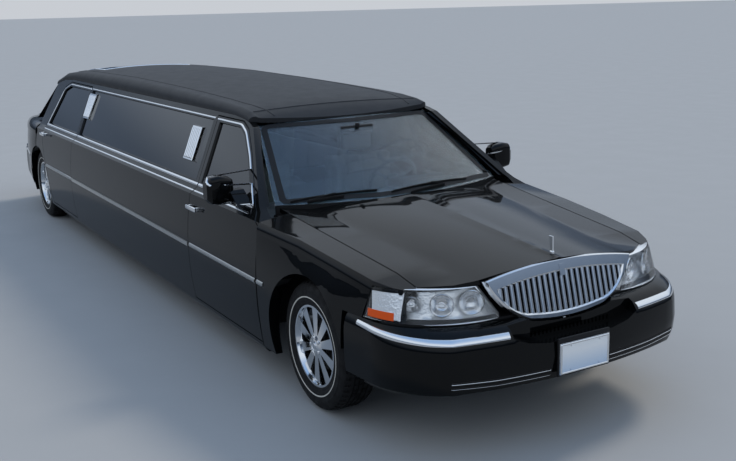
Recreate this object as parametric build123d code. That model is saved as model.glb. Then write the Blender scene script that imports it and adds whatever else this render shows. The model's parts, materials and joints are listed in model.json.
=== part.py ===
from build123d import *
from math import cos, sin, radians, pi
import os

# A stretch limousine on a full-size saloon: X forward, Y to the car's left, Z up, in millimetres.
# The origin is on the ground below the middle of the car.
# Stations along the car are given from the front axle (ahead is positive) or from the rear axle.

# Main sizes
WHEELBASE = 6038
FRONT_OVERHANG = 1070
PLATE_DEPTH = 17
REAR_OVERHANG = 1411
ROOF_HEIGHT = 1565
FRONT_TRACK = 1610
REAR_TRACK = 1661
TYRE_RADIUS = 351
TYRE_WIDTH = 225
RIM_RADIUS = 222
GAP = 7
SEAT_GAP = 0.3

# Heights and half widths of the body side, the same all along the cabin.
# The roof's crown stands this high over the rail that carries it.
ROOF_RISE = 140
SILL_Z = 165
SILL_Y = 925
ROCKER_Z = 205
ROCKER_Y = 957
WIDE_Z = 600
WIDE_Y = 986
WAIST_Z = 930
WAIST_Y = 950
BELT_Z = 970
BELT_Y = 905
RAIL_Z = ROOF_HEIGHT - ROOF_RISE
RAIL_Y = 653
DOOR_THICKNESS = 90
FRAME_THICKNESS = 42
GLASS_THICKNESS = 6
DOOR_BOTTOM_Z = 235
SHUT_SLANT = 0.32

# Panel thicknesses
SKIN = 24
ROOF_THICKNESS = 28
FENDER_THICKNESS = 40

# Where the axles are
LENGTH = PLATE_DEPTH + FRONT_OVERHANG + WHEELBASE + REAR_OVERHANG
FRONT_AXLE = LENGTH / 2 - PLATE_DEPTH - FRONT_OVERHANG
REAR_AXLE = FRONT_AXLE - WHEELBASE


def front(x):
    """Station given from the front axle."""
    return FRONT_AXLE + x


def rear(x):
    """Station given from the rear axle."""
    return REAR_AXLE + x


def house(share):
    """Height in the glasshouse: 0 at the belt line, 1 at the roof rail."""
    return BELT_Z + share * (RAIL_Z - BELT_Z)


def house_y(share):
    """Half width of the glasshouse's outer face at that height."""
    return BELT_Y + share * (RAIL_Y - BELT_Y)


def across(x):
    """Puts (y, z) on the cross plane at x."""
    return lambda p: Vector(x, p[0], p[1])


def along(y):
    """Puts (x, z) on the lengthwise plane at y."""
    return lambda p: Vector(p[0], y, p[1])


def level(z):
    """Puts (x, y) on the level plane at z."""
    return lambda p: Vector(p[0], p[1], z)


def loop(place, steps):
    """Closed face. A step is a corner, or a pair (middle, corner) for an arc to that corner."""
    edges = []
    last = steps[0]
    for step in list(steps[1:]) + [steps[0]]:
        if isinstance(step[0], tuple):
            middle, corner = step
            edges.append(Edge.make_three_point_arc(place(last), place(middle), place(corner)))
        else:
            corner = step
            if corner != last:
                edges.append(Edge.make_line(place(last), place(corner)))
        last = corner
    return Face(Wire(edges))


def prism(face, shift):
    """Solid swept from a face by a straight shift."""
    return Solid.extrude(face, Vector(*shift))


def block(low, high):
    """Box between two corners."""
    face = loop(level(low[2]), [(low[0], low[1]), (high[0], low[1]), (high[0], high[1]), (low[0], high[1])])
    return prism(face, (0, 0, high[2] - low[2]))


def softened(low, high, size):
    """Box between two corners with all its edges chamfered."""
    solid = block(low, high)
    return solid.chamfer(size, None, solid.edges())


def largest(shape):
    """The main solid of a shape that a cut has left in several bits."""
    return max(shape.solids(), key=lambda solid: solid.volume)


def tube_y(x, z, y0, y1, radius):
    """Round bar across the car."""
    return Solid.make_cylinder(radius, abs(y1 - y0), Plane((x, min(y0, y1), z), z_dir=(0, 1, 0)))


def rod(start, end, radius):
    """Round bar between two points."""
    a = Vector(*start)
    b = Vector(*end)
    return Solid.make_cylinder(radius, (b - a).length, Plane(a, z_dir=b - a))


def other_side(shape):
    """The same shape on the car's right."""
    return mirror(shape, about=Plane.XZ)


NODES = {}


def keep(name, *shapes):
    """Stores a piece; several solids make one node."""
    solids = []
    for shape in shapes:
        solids.extend(shape.solids())
    NODES[name] = solids[0] if len(solids) == 1 else Compound(solids)


def keep_pair(name, shape):
    """Stores a piece on the left and its mirror image on the right."""
    keep(name + "_left", shape)
    keep(name + "_right", other_side(shape))


# Side wall of the cabin, left side
def wall_face(x, outer=0, inner=0):
    """Cross-section of the side wall; outer and inner move its two faces inwards."""
    thick = DOOR_THICKNESS - inner
    frame = FRAME_THICKNESS - inner
    return loop(across(x), [
        (SILL_Y - outer, SILL_Z),
        (ROCKER_Y - outer, ROCKER_Z),
        ((WIDE_Y - outer, WIDE_Z), (WAIST_Y - outer, WAIST_Z)),
        (BELT_Y - outer, BELT_Z),
        (RAIL_Y - outer, RAIL_Z),
        (RAIL_Y - frame, RAIL_Z),
        (BELT_Y - frame, BELT_Z),
        (WAIST_Y - thick, WAIST_Z - 20),
        (SILL_Y - thick + 20, SILL_Z)])


def side_prism(points):
    """Cutter through the left wall. Its side view points lie on the wall's outer face."""
    def at_centre(point):
        x, z = point
        return (x + SHUT_SLANT * skin_y(z), z)
    face = loop(along(0), [at_centre(p) for p in points])
    return prism(face, (-SHUT_SLANT * 1100, 1100, 0))


def skin_y(z):
    """Half width of the outer face at a height, near enough for shut lines."""
    if z <= WAIST_Z:
        return WAIST_Y + 20
    return BELT_Y + (RAIL_Y - BELT_Y) * (z - BELT_Z) / (RAIL_Z - BELT_Z)


def grown(points, gap):
    """Side view outline moved outwards by a gap, for convex outlines given anticlockwise."""
    wire = Wire.make_polygon([Vector(x, 0, z) for x, z in points], close=True)
    bigger = wire.offset_2d(gap, kind=Kind.INTERSECTION)
    if bigger.bounding_box().size.X < wire.bounding_box().size.X:
        bigger = wire.offset_2d(-gap, kind=Kind.INTERSECTION)
    ordered = bigger.order_edges()
    return [(e.position_at(0).X, e.position_at(0).Z) for e in ordered]


# Door outlines in side view, from the front down and round
FRONT_DOOR = [
    (front(-532), DOOR_BOTTOM_Z), (front(-532), 900), (front(-690), house(0.033)), (front(-1035), house(0.604)),
    (front(-1215), house(0.862)), (front(-1330), house(0.941)), (front(-1750), house(0.941)),
    (front(-1600), BELT_Z), (front(-1600), DOOR_BOTTOM_Z)]
REAR_DOOR = [
    (rear(1378), DOOR_BOTTOM_Z), (rear(1378), BELT_Z), (rear(1180), house(0.941)), (rear(420), house(0.941)),
    (rear(270), house(0.824)), (rear(200), BELT_Z), (rear(240), 800), (rear(330), 660), (rear(440), 470),
    (rear(470), DOOR_BOTTOM_Z)]
FRONT_DOOR_GLASS = [
    (front(-775), house(0.066)), (front(-1035), house(0.506)), (front(-1235), house(0.78)),
    (front(-1345), house(0.868)), (front(-1690), house(0.868)), (front(-1565), house(0.066))]
REAR_DOOR_GLASS = [
    (rear(1322), house(0.066)), (rear(1160), house(0.868)), (rear(440), house(0.868)), (rear(300), house(0.765)),
    (rear(250), house(0.066))]
LONG_WINDOW = [
    (front(-1665), house(0.066)), (front(-1800), house(0.884)), (rear(1240), house(0.884)),
    (rear(1410), house(0.066))]

CABIN_START = front(-532)
CABIN_END = rear(-62)

full_wall = prism(wall_face(CABIN_END), (CABIN_START - CABIN_END, 0, 0))
glass_wall = prism(wall_face(CABIN_END, 16, FRAME_THICKNESS - 16 - GLASS_THICKNESS),
                   (CABIN_START - CABIN_END, 0, 0))


def door(outline, window):
    """A door leaf with its window cut, and its glass."""
    leaf = full_wall & side_prism(outline)
    opening = side_prism(window)
    return leaf - opening, glass_wall & opening


def handle(x, z):
    """Pull handle standing off the skin."""
    y = WAIST_Y + 36
    bar = softened((x - 80, y, z - 12), (x + 80, y + 12, z + 12), 4)
    for end in (-62, 62):
        bar = bar + block((x + end - 10, WAIST_Y - 15, z - 10), (x + end + 10, y + 4, z + 10))
    return bar


front_leaf, front_glass = door(FRONT_DOOR, FRONT_DOOR_GLASS)
rear_leaf, rear_glass = door(REAR_DOOR, REAR_DOOR_GLASS)

# Door mirror on the front door: housing in three slices across, and the sail that carries it
MIRROR_X = front(-925)
MIRROR_Z = 1068
MIRROR_SLICES = [
    # y, half length, half height
    (945, 38, 56),
    (970, 52, 74),
    (1035, 59, 86),
    (1082, 54, 78),
    (1107, 32, 50),
]


def mirror_slice(y, a, b):
    """Rounded outline of the mirror housing, with half sizes a and b."""
    r = 0.6 * a
    k = 0.29 * r
    outline = [
        (a, r - b), (a, b - r), ((a - k, b - k), (a - r, b)), (r - a, b), ((k - a, b - k), (-a, b - r)),
        (-a, r - b), ((k - a, k - b), (r - a, -b)), (a - r, -b), ((a - k, k - b), (a, r - b))]
    return loop(lambda p: Vector(MIRROR_X + p[0], y, MIRROR_Z + p[1]), outline)


mirror_shell = loft([mirror_slice(*row) for row in MIRROR_SLICES], ruled=True)
mirror_arm = prism(loop(along(880), [
    (MIRROR_X + 150, 985), (MIRROR_X - 20, 985), (MIRROR_X - 20, 1060), (MIRROR_X + 40, 1060)]), (0, 90, 0))
front_glass = front_glass - mirror_arm
front_leaf = front_leaf + handle(front(-1508), 854) + mirror_arm + mirror_shell
rear_leaf = rear_leaf + handle(rear(351), 905)
keep_pair("door_front", front_leaf)
keep_pair("door_rear", rear_leaf)
keep_pair("glass_front_door", front_glass)
keep_pair("glass_rear_door", rear_glass)

# Body side: sill, stretch panel, pillars
side = full_wall
side = side - side_prism(grown(FRONT_DOOR, GAP))
side = side - side_prism(grown(REAR_DOOR, GAP))
side = side - side_prism(LONG_WINDOW)
# The roof's foot: height share at each station, falling at both headers
HEADER = front(-1170)
BACK_HEADER = rear(-100)
ROOF_FOOT = [
    (HEADER, 0.9), (front(-1240), 0.945), (front(-1330), 0.975), (front(-1500), 1), (rear(478), 1), (rear(150), 0.965),
    (BACK_HEADER, 0.845)]
over_foot = [(x, house(share)) for x, share in ROOF_FOOT]
over_foot += [(BACK_HEADER - 400, house(0.845)), (BACK_HEADER - 400, RAIL_Z + 200), (HEADER, RAIL_Z + 200)]
roof_cut = prism(loop(along(0), over_foot), (0, 1100, 0))
nose_cut = prism(loop(along(0), [
    (front(-500), 915), (front(-655), house(0.066)), (front(-1160), house(0.895)), (HEADER, house(0.9)),
    (HEADER, RAIL_Z + 200), (front(-300), RAIL_Z + 200), (front(-300), 915)]), (0, 1100, 0))
side = side - nose_cut - roof_cut
long_glass = glass_wall & side_prism(LONG_WINDOW)

# Rear quarter: lofted wall, sections from the cabin end to the tail
QUARTER = [
    # station, low y, wide y, shoulder y, shoulder z
    (-62, 957, 986, 905, 970),
    (-500, 935, 965, 868, 968),
    (-950, 862, 884, 795, 948),
    (-1300, 790, 812, 722, 925),
]
LID_Y = 640


def quarter_face(row, thickness):
    """Cross-section of the rear quarter's wall, with its flange to the boot lid."""
    station, low_y, wide_y, top_y, top_z = row
    s_y = wide_y - 20
    return loop(across(rear(station)), [
        (low_y, 230),
        ((wide_y, 590), (s_y, top_z - 110)),
        ((top_y + 0.74 * (s_y - top_y), top_z - 34), (top_y, top_z)),
        (LID_Y, top_z + 12),
        (LID_Y, top_z + 12 - thickness),
        (top_y - 10, top_z - thickness),
        (s_y - thickness, top_z - 110),
        (low_y - thickness, 230)])


quarter = loft([quarter_face(row, FENDER_THICKNESS) for row in QUARTER])
ARCH_RADIUS = 395


def wheel_arch(x):
    """Cutter for a wheel's arch on the left."""
    return tube_y(x, TYRE_RADIUS, 500, 1100, ARCH_RADIUS)


side = side - wheel_arch(REAR_AXLE)
quarter = quarter - wheel_arch(REAR_AXLE)
quarter = quarter - block((rear(-1500), 500, 200), (rear(-400), 1100, 640 + GAP))


def pillar_face(x, inset):
    """Cross-section of the rear pillar, drawn in by an inset."""
    y0 = BELT_Y - inset
    y1 = RAIL_Y - inset
    return loop(across(x), [
        (y0, 955), (y1, RAIL_Z), (y1 - FRAME_THICKNESS, RAIL_Z), (y0 - FRAME_THICKNESS, 955)])


pillar = loft([pillar_face(CABIN_END, 0), pillar_face(rear(-520), 140)], ruled=True)
pillar = pillar & prism(loop(along(0), [
    (CABIN_END, 955), (CABIN_END, RAIL_Z + 100), (BACK_HEADER, RAIL_Z + 100), (BACK_HEADER, house(0.845)),
    (rear(-470), 985), (rear(-520), 955)]), (0, 1100, 0))
# Windscreen pillar from the side wall's front strip in to the glass
pillar_foot = loop(level(985), [
    (front(-650), 882), (front(-700), 890), (front(-705), 795), (front(-658), 781)])
pillar_head = loop(level(house(0.87)), [
    (front(-1150), 668), (front(-1240), 672), (front(-1240), 606), (front(-1192), 612)])
screen_pillar = loft([pillar_foot, pillar_head], ruled=True) - side_prism(grown(FRONT_DOOR, GAP))
# Latch posts that reach behind each door's rear edge
LATCH_Y = SILL_Y - DOOR_THICKNESS + 22.6
latches = block((front(-1660), 820, 600), (front(-1530), LATCH_Y, 700))
latches = latches + block((front(-1680), 820, 600), (front(-1615), LATCH_Y + 12, 700))
latches = latches + block((rear(280), 820, 680), (rear(410), LATCH_Y, 740))
latches = latches + block((rear(230), 820, 680), (rear(308), LATCH_Y + 12, 740))
body_side = side + quarter + (pillar - roof_cut) + screen_pillar + latches
keep_pair("body_side", body_side)
keep("long_windows", long_glass, other_side(long_glass))

# Hood: half sections at five stations. Between them it runs straight.
HOOD = [
    # station, edge y, edge z, crease y, crease z, centre z
    (-680, 770, 976, 611, 966, 1013),
    (0, 739, 905, 552, 912, 962),
    (560, 717, 848, 505, 856, 916),
    (720, 710, 812, 491, 843, 903),
    (900, 702, 790, 476, 828, 888),
]


def between(table, station):
    """Row of a table at any station, by straight lines between its rows."""
    rows = sorted(table)
    pairs = list(zip(rows[:-1], rows[1:]))
    low, high = next((pair for pair in pairs if station <= pair[1][0]), pairs[-1])
    share = (station - low[0]) / (high[0] - low[0])
    return [a + share * (b - a) for a, b in zip(low, high)]


def hood_face(station):
    """Half cross-section of the hood."""
    row = between(HOOD, station)
    edge, edge_z, crease_y, crease_z, centre_z = row[1:]
    spine_y = 82 - 0.069 * station
    mid = (0.5 * (spine_y + crease_y), 0.5 * (centre_z - 6 + crease_z) + 10)
    return loop(across(front(station)), [
        (0, centre_z), (spine_y, centre_z - 5), (mid, (crease_y, crease_z)), (edge, edge_z),
        (edge, edge_z - SKIN), (crease_y, crease_z - SKIN),
        ((mid[0], mid[1] - SKIN), (spine_y, centre_z - 5 - SKIN)), (0, centre_z - SKIN)])


hood_half = loft([hood_face(row[0]) for row in HOOD], ruled=True)
HOOD_NOSE = [(705, 720), (810, 570), (850, 450)]
HOOD_NOSE_ARC = ((880, 200), (888, -1))


def hood_plan(ahead):
    """Plan of the hood's left half, its front edge moved ahead."""
    nose = [(front(x) + ahead, y) for x, y in HOOD_NOSE]
    (mid_x, mid_y), (end_x, end_y) = HOOD_NOSE_ARC
    return [
        (front(-443), -1), ((front(-490), 360), (front(-640), 775)), (front(-640), 800),
        (front(705) + ahead, 800)] + nose + [
        ((front(mid_x) + ahead, mid_y), (front(end_x) + ahead, end_y))]


hood_half = hood_half & prism(loop(level(500), hood_plan(0)), (0, 0, 700))
hood = hood_half + other_side(hood_half)
ORNAMENT_X = front(836)
ORNAMENT_Z = between(HOOD, 836)[5]
ornament = softened((ORNAMENT_X - 11, -9, ORNAMENT_Z - 4), (ORNAMENT_X + 11, 9, ORNAMENT_Z + 16), 4)
ornament_fin = prism(loop(along(-4), [
    (ORNAMENT_X - 7, ORNAMENT_Z + 10), (ORNAMENT_X - 22, ORNAMENT_Z + 88), (ORNAMENT_X + 6, ORNAMENT_Z + 88),
    (ORNAMENT_X + 7, ORNAMENT_Z + 10)]), (0, 8, 0))
keep("hood", hood)
keep("hood_ornament", (ornament + ornament_fin) - hood)

# Fender: its crease carries the waist line on to the lamp
FENDER = [
    # station, low y, wide y, crease y, crease z
    (-525, 957, 985, 947, 933),
    (-100, 953, 982, 905, 908),
    (250, 930, 962, 884, 872),
    (560, 880, 915, 858, 835),
    (720, 820, 860, 790, 806),
]


def fender_face(row):
    """Cross-section of the front fender's wall."""
    station, low_y, wide_y, top_y, top_z = row
    edge_y, edge_z = between(HOOD, station)[1:3]
    t = FENDER_THICKNESS
    return loop(across(front(station)), [
        (low_y, 205),
        ((wide_y, 560), (top_y + 22, top_z - 60)),
        ((top_y + 14, top_z - 18), (top_y, top_z)),
        (edge_y + GAP, edge_z),
        (edge_y + GAP, edge_z - t),
        (top_y - t, top_z - t),
        (top_y + 22 - t, top_z - 60),
        (low_y - t, 205)])


LAMP_LOW_Z = 660
LAMP_HIGH_Z = 812
BUMPER_TOP_Z = 650

fender = loft([fender_face(row) for row in FENDER], ruled=True)
fender = fender - wheel_arch(FRONT_AXLE)
fender = fender - block((front(380), 500, 0), (front(1200), 1100, BUMPER_TOP_Z + GAP))
fender = fender - block((front(250), 500, 0), (front(400), 1100, TYRE_RADIUS))
LAMP_LOW = ((534, 900), (820, 730), (915, 388))
LAMP_HIGH = ((575, 868), (750, 740), (862, 486))
LAMP_GAP = 3


def lamp_room(z, outer, middle, inner):
    """Level slice of the room ahead of a headlamp's lens edge."""
    return loop(level(z), [
        (front(outer[0] - LAMP_GAP), 1000), (front(outer[0] - LAMP_GAP), outer[1] - LAMP_GAP),
        ((front(middle[0] - LAMP_GAP), middle[1] - LAMP_GAP), (front(inner[0] - LAMP_GAP), inner[1])),
        (front(1200), inner[1]), (front(1200), 1000)])


fender = fender - loft([lamp_room(BUMPER_TOP_Z, *LAMP_LOW), lamp_room(LAMP_HIGH_Z, *LAMP_HIGH)], ruled=True)
fender = fender - prism(lamp_room(LAMP_HIGH_Z, *LAMP_HIGH), (0, 0, 100))
keep_pair("fender", largest(fender))

# Boot lid: deck and rear face
LID_FRONT = rear(-545)
LID_REAR = rear(-1385)
LID_INNER = rear(-1350)


def lid_deck(x, centre_z):
    """Cross-section of the boot lid's deck."""
    edge = LID_Y - GAP
    return loop(across(x), [
        (-edge, centre_z - 6), ((0, centre_z + 16), (edge, centre_z - 6)),
        (edge, centre_z - 6 - SKIN), ((0, centre_z + 16 - SKIN), (-edge, centre_z - 6 - SKIN))])


deck = loft([lid_deck(LID_FRONT, 980), lid_deck(LID_REAR, 944)], ruled=True)
lid_face = prism(loop(along(-0.93 * LID_Y), [
    (LID_INNER, 949), (LID_REAR, 934), (LID_REAR - 13, 680), (LID_INNER, 680)]),
    (0, 1.86 * LID_Y, 0))
boot_lid = deck + lid_face
keep("boot_lid", boot_lid)

# Boot liner: floor over the frame, bulkhead, parcel shelf, side walls and the tail panel
SHELF_Z = 989.7
FLOOR_SEAT = 390 + SEAT_GAP
KICK_SEAT = 490 + SEAT_GAP
LINER = 12
TAIL_X = rear(-1345)
SILL_STEP = 652
WELL_X = rear(-1262)
liner_low = [
    (TAIL_X, SILL_STEP), (WELL_X, SILL_STEP), (WELL_X, FLOOR_SEAT), (rear(-345), FLOOR_SEAT),
    (rear(-190), KICK_SEAT), (rear(170), KICK_SEAT)]
liner_floor = prism(loop(along(-LID_Y), liner_low + [
    (rear(170), SHELF_Z), (rear(170) - LINER, SHELF_Z), (rear(170) - LINER, KICK_SEAT + LINER),
    (rear(-196), KICK_SEAT + LINER), (rear(-351), FLOOR_SEAT + LINER), (WELL_X + LINER, FLOOR_SEAT + LINER),
    (WELL_X + LINER, SILL_STEP + LINER), (TAIL_X, SILL_STEP + LINER)]),
    (0, 2 * LID_Y, 0))
liner_wall = prism(loop(along(LID_Y - LINER), liner_low + [
    (rear(170), SHELF_Z), (rear(-400), SHELF_Z), (rear(-520), 915), (TAIL_X, 870)]), (0, LINER, 0))
shelf = prism(loop(level(SHELF_Z - 15), [
    (rear(-541), -745), (CABIN_END, -890), (rear(170), -890), (rear(170), 890), (CABIN_END, 890),
    (rear(-541), 745)]), (0, 0, 15))
tail_panel = block((TAIL_X, -720, SILL_STEP), (TAIL_X + 30, 720, 890))
tail_panel = tail_panel - block((TAIL_X - 5, -540, 690), (TAIL_X + 40, 540, 1000))
boot_liner = liner_floor.fuse(liner_wall, other_side(liner_wall), shelf, tail_panel)
for y in (-580, 580):
    boot_liner = boot_liner + block((LID_INNER + SEAT_GAP, y - 15, 850), (TAIL_X + 10, y + 15, 880))
boot_liner = boot_liner - body_side - other_side(body_side)
keep("boot_liner", largest(boot_liner))
tail_lamp = block((rear(-1392), 610, 665), (TAIL_X - SEAT_GAP, 715, 880))
tail_lamp = tail_lamp - block((rear(-1400), 600, 600), (rear(-1300), LID_Y + 2, 1000))
keep("tail_lamps", tail_lamp, other_side(tail_lamp))


# Grille placement: a plane that leans back over the bumper
GRILLE_LEAN = radians(14.6)
GRILLE_BASE = Vector(front(967), 0, 610)
GRILLE_UP = Vector(-sin(GRILLE_LEAN), 0, cos(GRILLE_LEAN))
GRILLE_OUT = Vector(cos(GRILLE_LEAN), 0, sin(GRILLE_LEAN))
GRILLE_DEPTH = 36
GRILLE_TALL = 284
GRILLE_EDGE = 8
# Outlines by their top, upper corner, side, lower corner and bottom, as (y, height)
GRILLE_OUTER = (GRILLE_TALL, (452, 240), (392, 138), (230, 22), 0)
GRILLE_INNER = (222, (392, 190), (350, 120), (205, 50), 34)


def grille_outline(depth, outline, by=0):
    """Outline on the leaning plane, a depth behind its face, grown by an amount."""
    top, corner, side, low, bottom = outline
    corner = (corner[0] + 0.8 * by, corner[1] + 0.6 * by)
    side = (side[0] + 0.8 * by, side[1] - 0.6 * by)
    low = (low[0] + 0.2 * by, low[1] - by)
    return loop(lambda p: GRILLE_BASE + Vector(0, p[0], 0) + GRILLE_UP * p[1] - GRILLE_OUT * depth, [
        (-low[0], low[1]), ((0, bottom - by), low), (side, corner), ((0, top + by), (-corner[0], corner[1])),
        ((-side[0], side[1]), (-low[0], low[1]))])


def behind(face, depth):
    """Solid swept back from a face on the leaning plane."""
    return prism(face, tuple(GRILLE_OUT * -depth))


grille_room = behind(grille_outline(-20, GRILLE_OUTER, 5), 140)


# Bumpers: plan outlines stacked and lofted
def nose_plan(inset, z):
    """Plan of the front bumper's outer face, closed across the back."""
    tip = front(FRONT_OVERHANG - inset)
    side_y = 938 - 0.3 * inset
    corner = (front(893 - 0.6 * inset), 806 - 0.68 * inset)
    shoulder = (tip - 85, 690 - 0.5 * inset)
    return loop(level(z), [
        (front(400), side_y), (front(600), side_y - 16), (corner, shoulder),
        ((tip, 0), (shoulder[0], -shoulder[1])), ((corner[0], -corner[1]), (front(600), 16 - side_y)),
        (front(400), -side_y)])


def tail_plan(inset, z):
    """Plan of the rear bumper's outer face."""
    tip = rear(inset - REAR_OVERHANG)
    side_y = 974 - 0.3 * inset
    corner = (rear(0.6 * inset - 1255), 770 - 0.6 * inset)
    shoulder = (tip + 65, 590 - 0.5 * inset)
    return loop(level(z), [
        (rear(-420), -side_y), (rear(-420), side_y), (rear(-950), side_y - 82), (corner, shoulder),
        ((tip, 0), (shoulder[0], -shoulder[1])), ((corner[0], -corner[1]), (rear(-950), 82 - side_y))])


BUMPER_LEVELS = [
    (70, 330), (22, 350), (6, 400), (0, 470), (6, 560), (12, 585), (40, 622), (95, BUMPER_TOP_Z)]
BUMPER_LEDGE = 125
bumper_outer = loft([nose_plan(inset, z) for inset, z in BUMPER_LEVELS], ruled=True)
bumper_wall = bumper_outer - prism(nose_plan(BUMPER_LEDGE, 300), (0, 0, 400))
recess_low = [(-385, 700), (-385, 585), (-370, 578), (-310, 555), (-200, 538)]
recess_points = recess_low + [(-y, z) for y, z in recess_low[::-1]]
RECESS_X = front(975)
bumper_wall = bumper_wall - prism(loop(across(RECESS_X), recess_points), (200, 0, 0)) - grille_room
SLOT_COUNT = 21
for i in range(SLOT_COUNT):
    y = (i - (SLOT_COUNT - 1) / 2) * 24
    bumper_wall = bumper_wall - block((RECESS_X - 12, y - 5, 552), (RECESS_X + 5, y + 5, 576))
front_bumper = largest(bumper_wall)

# Front plate on its bracket, with its bolt holes run through the bumper
plate_x = front(FRONT_OVERHANG)
PLATE_WIDTH = 304
PLATE_HEIGHT = 152
PLATE_Z = 452
PLATE_HOLES_Y = 177.8
PLATE_HOLES_Z = 120.65
PLATE_HOLE_R = 3.5
plate = block((plate_x - 4, -PLATE_WIDTH / 2, PLATE_Z - PLATE_HEIGHT / 2),
              (plate_x + PLATE_DEPTH, PLATE_WIDTH / 2, PLATE_Z + PLATE_HEIGHT / 2)) - bumper_outer
for y in (-PLATE_HOLES_Y / 2, PLATE_HOLES_Y / 2):
    for z in (PLATE_Z - PLATE_HOLES_Z / 2, PLATE_Z + PLATE_HOLES_Z / 2):
        drill = rod((plate_x - 300, y, z), (plate_x + 40, y, z), PLATE_HOLE_R)
        plate = plate - drill
        front_bumper = front_bumper - drill
keep("front_plate", plate)

# Bumper brackets that meet the ends of the frame rails
FRAME_Y = 430
RAIL_WIDTH = 70
FRAME_NOSE = front(700)
FRAME_TAIL = rear(-1255)
for y in (-FRAME_Y, FRAME_Y):
    front_bumper = front_bumper + block((FRAME_NOSE + SEAT_GAP, y - RAIL_WIDTH / 2, 350),
                                        (front(985), y + RAIL_WIDTH / 2, 400))
keep("front_bumper", front_bumper)
REAR_LEVELS = [(60, 290), (8, 350), (0, 460), (10, 590), (26, 640)]
rear_outer = loft([tail_plan(inset, z) for inset, z in REAR_LEVELS], ruled=True)
rear_bumper = largest(rear_outer - prism(tail_plan(62, 200), (0, 0, 600)))
for y in (-FRAME_Y, FRAME_Y):
    rear_bumper = rear_bumper + block((rear(-1370), y - RAIL_WIDTH / 2, 315),
                                      (FRAME_TAIL - SEAT_GAP, y + RAIL_WIDTH / 2, 380))
keep("rear_bumper", rear_bumper)

# Grille: chrome frame with bevelled edges, and upright convex bars
grille = loft([grille_outline(0, GRILLE_OUTER, -GRILLE_EDGE), grille_outline(GRILLE_EDGE, GRILLE_OUTER)], ruled=True)
grille = grille + behind(grille_outline(GRILLE_EDGE, GRILLE_OUTER), GRILLE_DEPTH - GRILLE_EDGE)
grille_hole = loft([grille_outline(0, GRILLE_INNER, GRILLE_EDGE), grille_outline(GRILLE_EDGE, GRILLE_INNER)], ruled=True)
grille_hole = grille_hole + behind(grille_outline(GRILLE_EDGE, GRILLE_INNER), GRILLE_DEPTH - GRILLE_EDGE)
under_hood = prism(loop(level(780), hood_plan(GAP)), (0, 0, 300))
under_hood = under_hood + other_side(under_hood)
grille = (grille - grille_hole) - under_hood
BAR_COUNT = 23
BAR_PITCH = 34
BAR_HALF = 11
BAR_BACK = 6
BAR_DEEP = 30
bars = []
for i in range(BAR_COUNT):
    y = (i - (BAR_COUNT - 1) / 2) * BAR_PITCH
    bar = loop(lambda p: GRILLE_BASE + Vector(0, p[0], 0) - GRILLE_OUT * p[1], [
        (y - BAR_HALF, BAR_DEEP), (y - BAR_HALF, BAR_BACK + 6), ((y, BAR_BACK), (y + BAR_HALF, BAR_BACK + 6)),
        (y + BAR_HALF, BAR_DEEP)])
    bar = prism(bar, tuple(GRILLE_UP * GRILLE_TALL)) & behind(grille_outline(0, GRILLE_INNER, 5), GRILLE_DEPTH)
    bars.append(bar - under_hood)
grille = grille.fuse(*bars)
pad = loop(lambda p: GRILLE_BASE + Vector(0, p[0], 0) + GRILLE_UP * p[1] + GRILLE_OUT * 3, [
    (-15, 200), (15, 200), (15, GRILLE_TALL - 26), (-15, GRILLE_TALL - 26)])
grille = grille + (behind(pad, 20) - under_hood)
keep("grille", largest(grille))


# Headlamps
def lamp_face(z, outer, middle, inner, back):
    """Level slice of a headlamp: curved lens in front, housing behind."""
    return loop(level(z), [
        (front(outer[0]), outer[1]), ((front(middle[0]), middle[1]), (front(inner[0]), inner[1])),
        (front(inner[0] - back), inner[1]), (front(middle[0] - 1.6 * back), middle[1] - 0.6 * back),
        (front(outer[0] + 4), outer[1] - back)])


headlamp = loft([lamp_face(LAMP_LOW_Z, *LAMP_LOW, 60), lamp_face(LAMP_HIGH_Z, *LAMP_HIGH, 50)], ruled=True)
headlamp = headlamp - grille_room - fender
headlamp = headlamp - prism(loop(level(700), hood_plan(GAP)), (0, 0, 300))
headlamp = largest(headlamp)
keep("headlamps", headlamp, other_side(headlamp))


# Roof
def roof_face(x, share, rise):
    """Cross-section of the roof skin on its foot, with its rounded edges."""
    y = house_y(share) - 2
    t = ROOF_THICKNESS
    foot = house(share) + SEAT_GAP
    brow = foot + 0.7 * rise
    return loop(across(x), [
        (y, foot), ((y - 8, foot + 0.42 * rise), (y - 60, brow)),
        ((0, foot + rise), (60 - y, brow)), ((8 - y, foot + 0.42 * rise), (-y, foot)),
        (46 - y, foot), (70 - y, brow - t), ((0, foot + rise - t), (y - 70, brow - t)), (y - 46, foot)])


ROOF = [
    # x, share of the house height at the foot, share of the full rise at the crown
    (HEADER, 0.9, 0.16),
    (front(-1240), 0.945, 0.31),
    (front(-1330), 0.975, 0.42),
    (front(-1500), 1, 0.5),
    (front(-1800), 1, 0.64),
    (front(-2300), 1, 0.78),
    (front(-3000), 1, 0.91),
    (front(-3900), 1, 1),
    (rear(1000), 1, 0.91),
    (rear(478), 1, 0.8),
    (rear(150), 0.965, 0.68),
    (BACK_HEADER, 0.845, 0.44),
]
roof = loft([roof_face(x, share, rise * ROOF_RISE) for x, share, rise in ROOF], ruled=True)
roof_plan = loop(level(house(0)), [
    (BACK_HEADER - 50, -720), (front(-1345), -720), (front(-1345), -690), ((front(-1262), -655), (front(-1225), -590)),
    ((HEADER, 0), (front(-1225), 590)), ((front(-1262), 655), (front(-1345), 690)), (front(-1345), 720),
    (BACK_HEADER - 50, 720)])
roof = roof & prism(roof_plan, (0, 0, ROOF_HEIGHT - BELT_Z))
HATCH_FRONT = rear(800)
HATCH_REAR = rear(250)
HATCH_Y = 430
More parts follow.
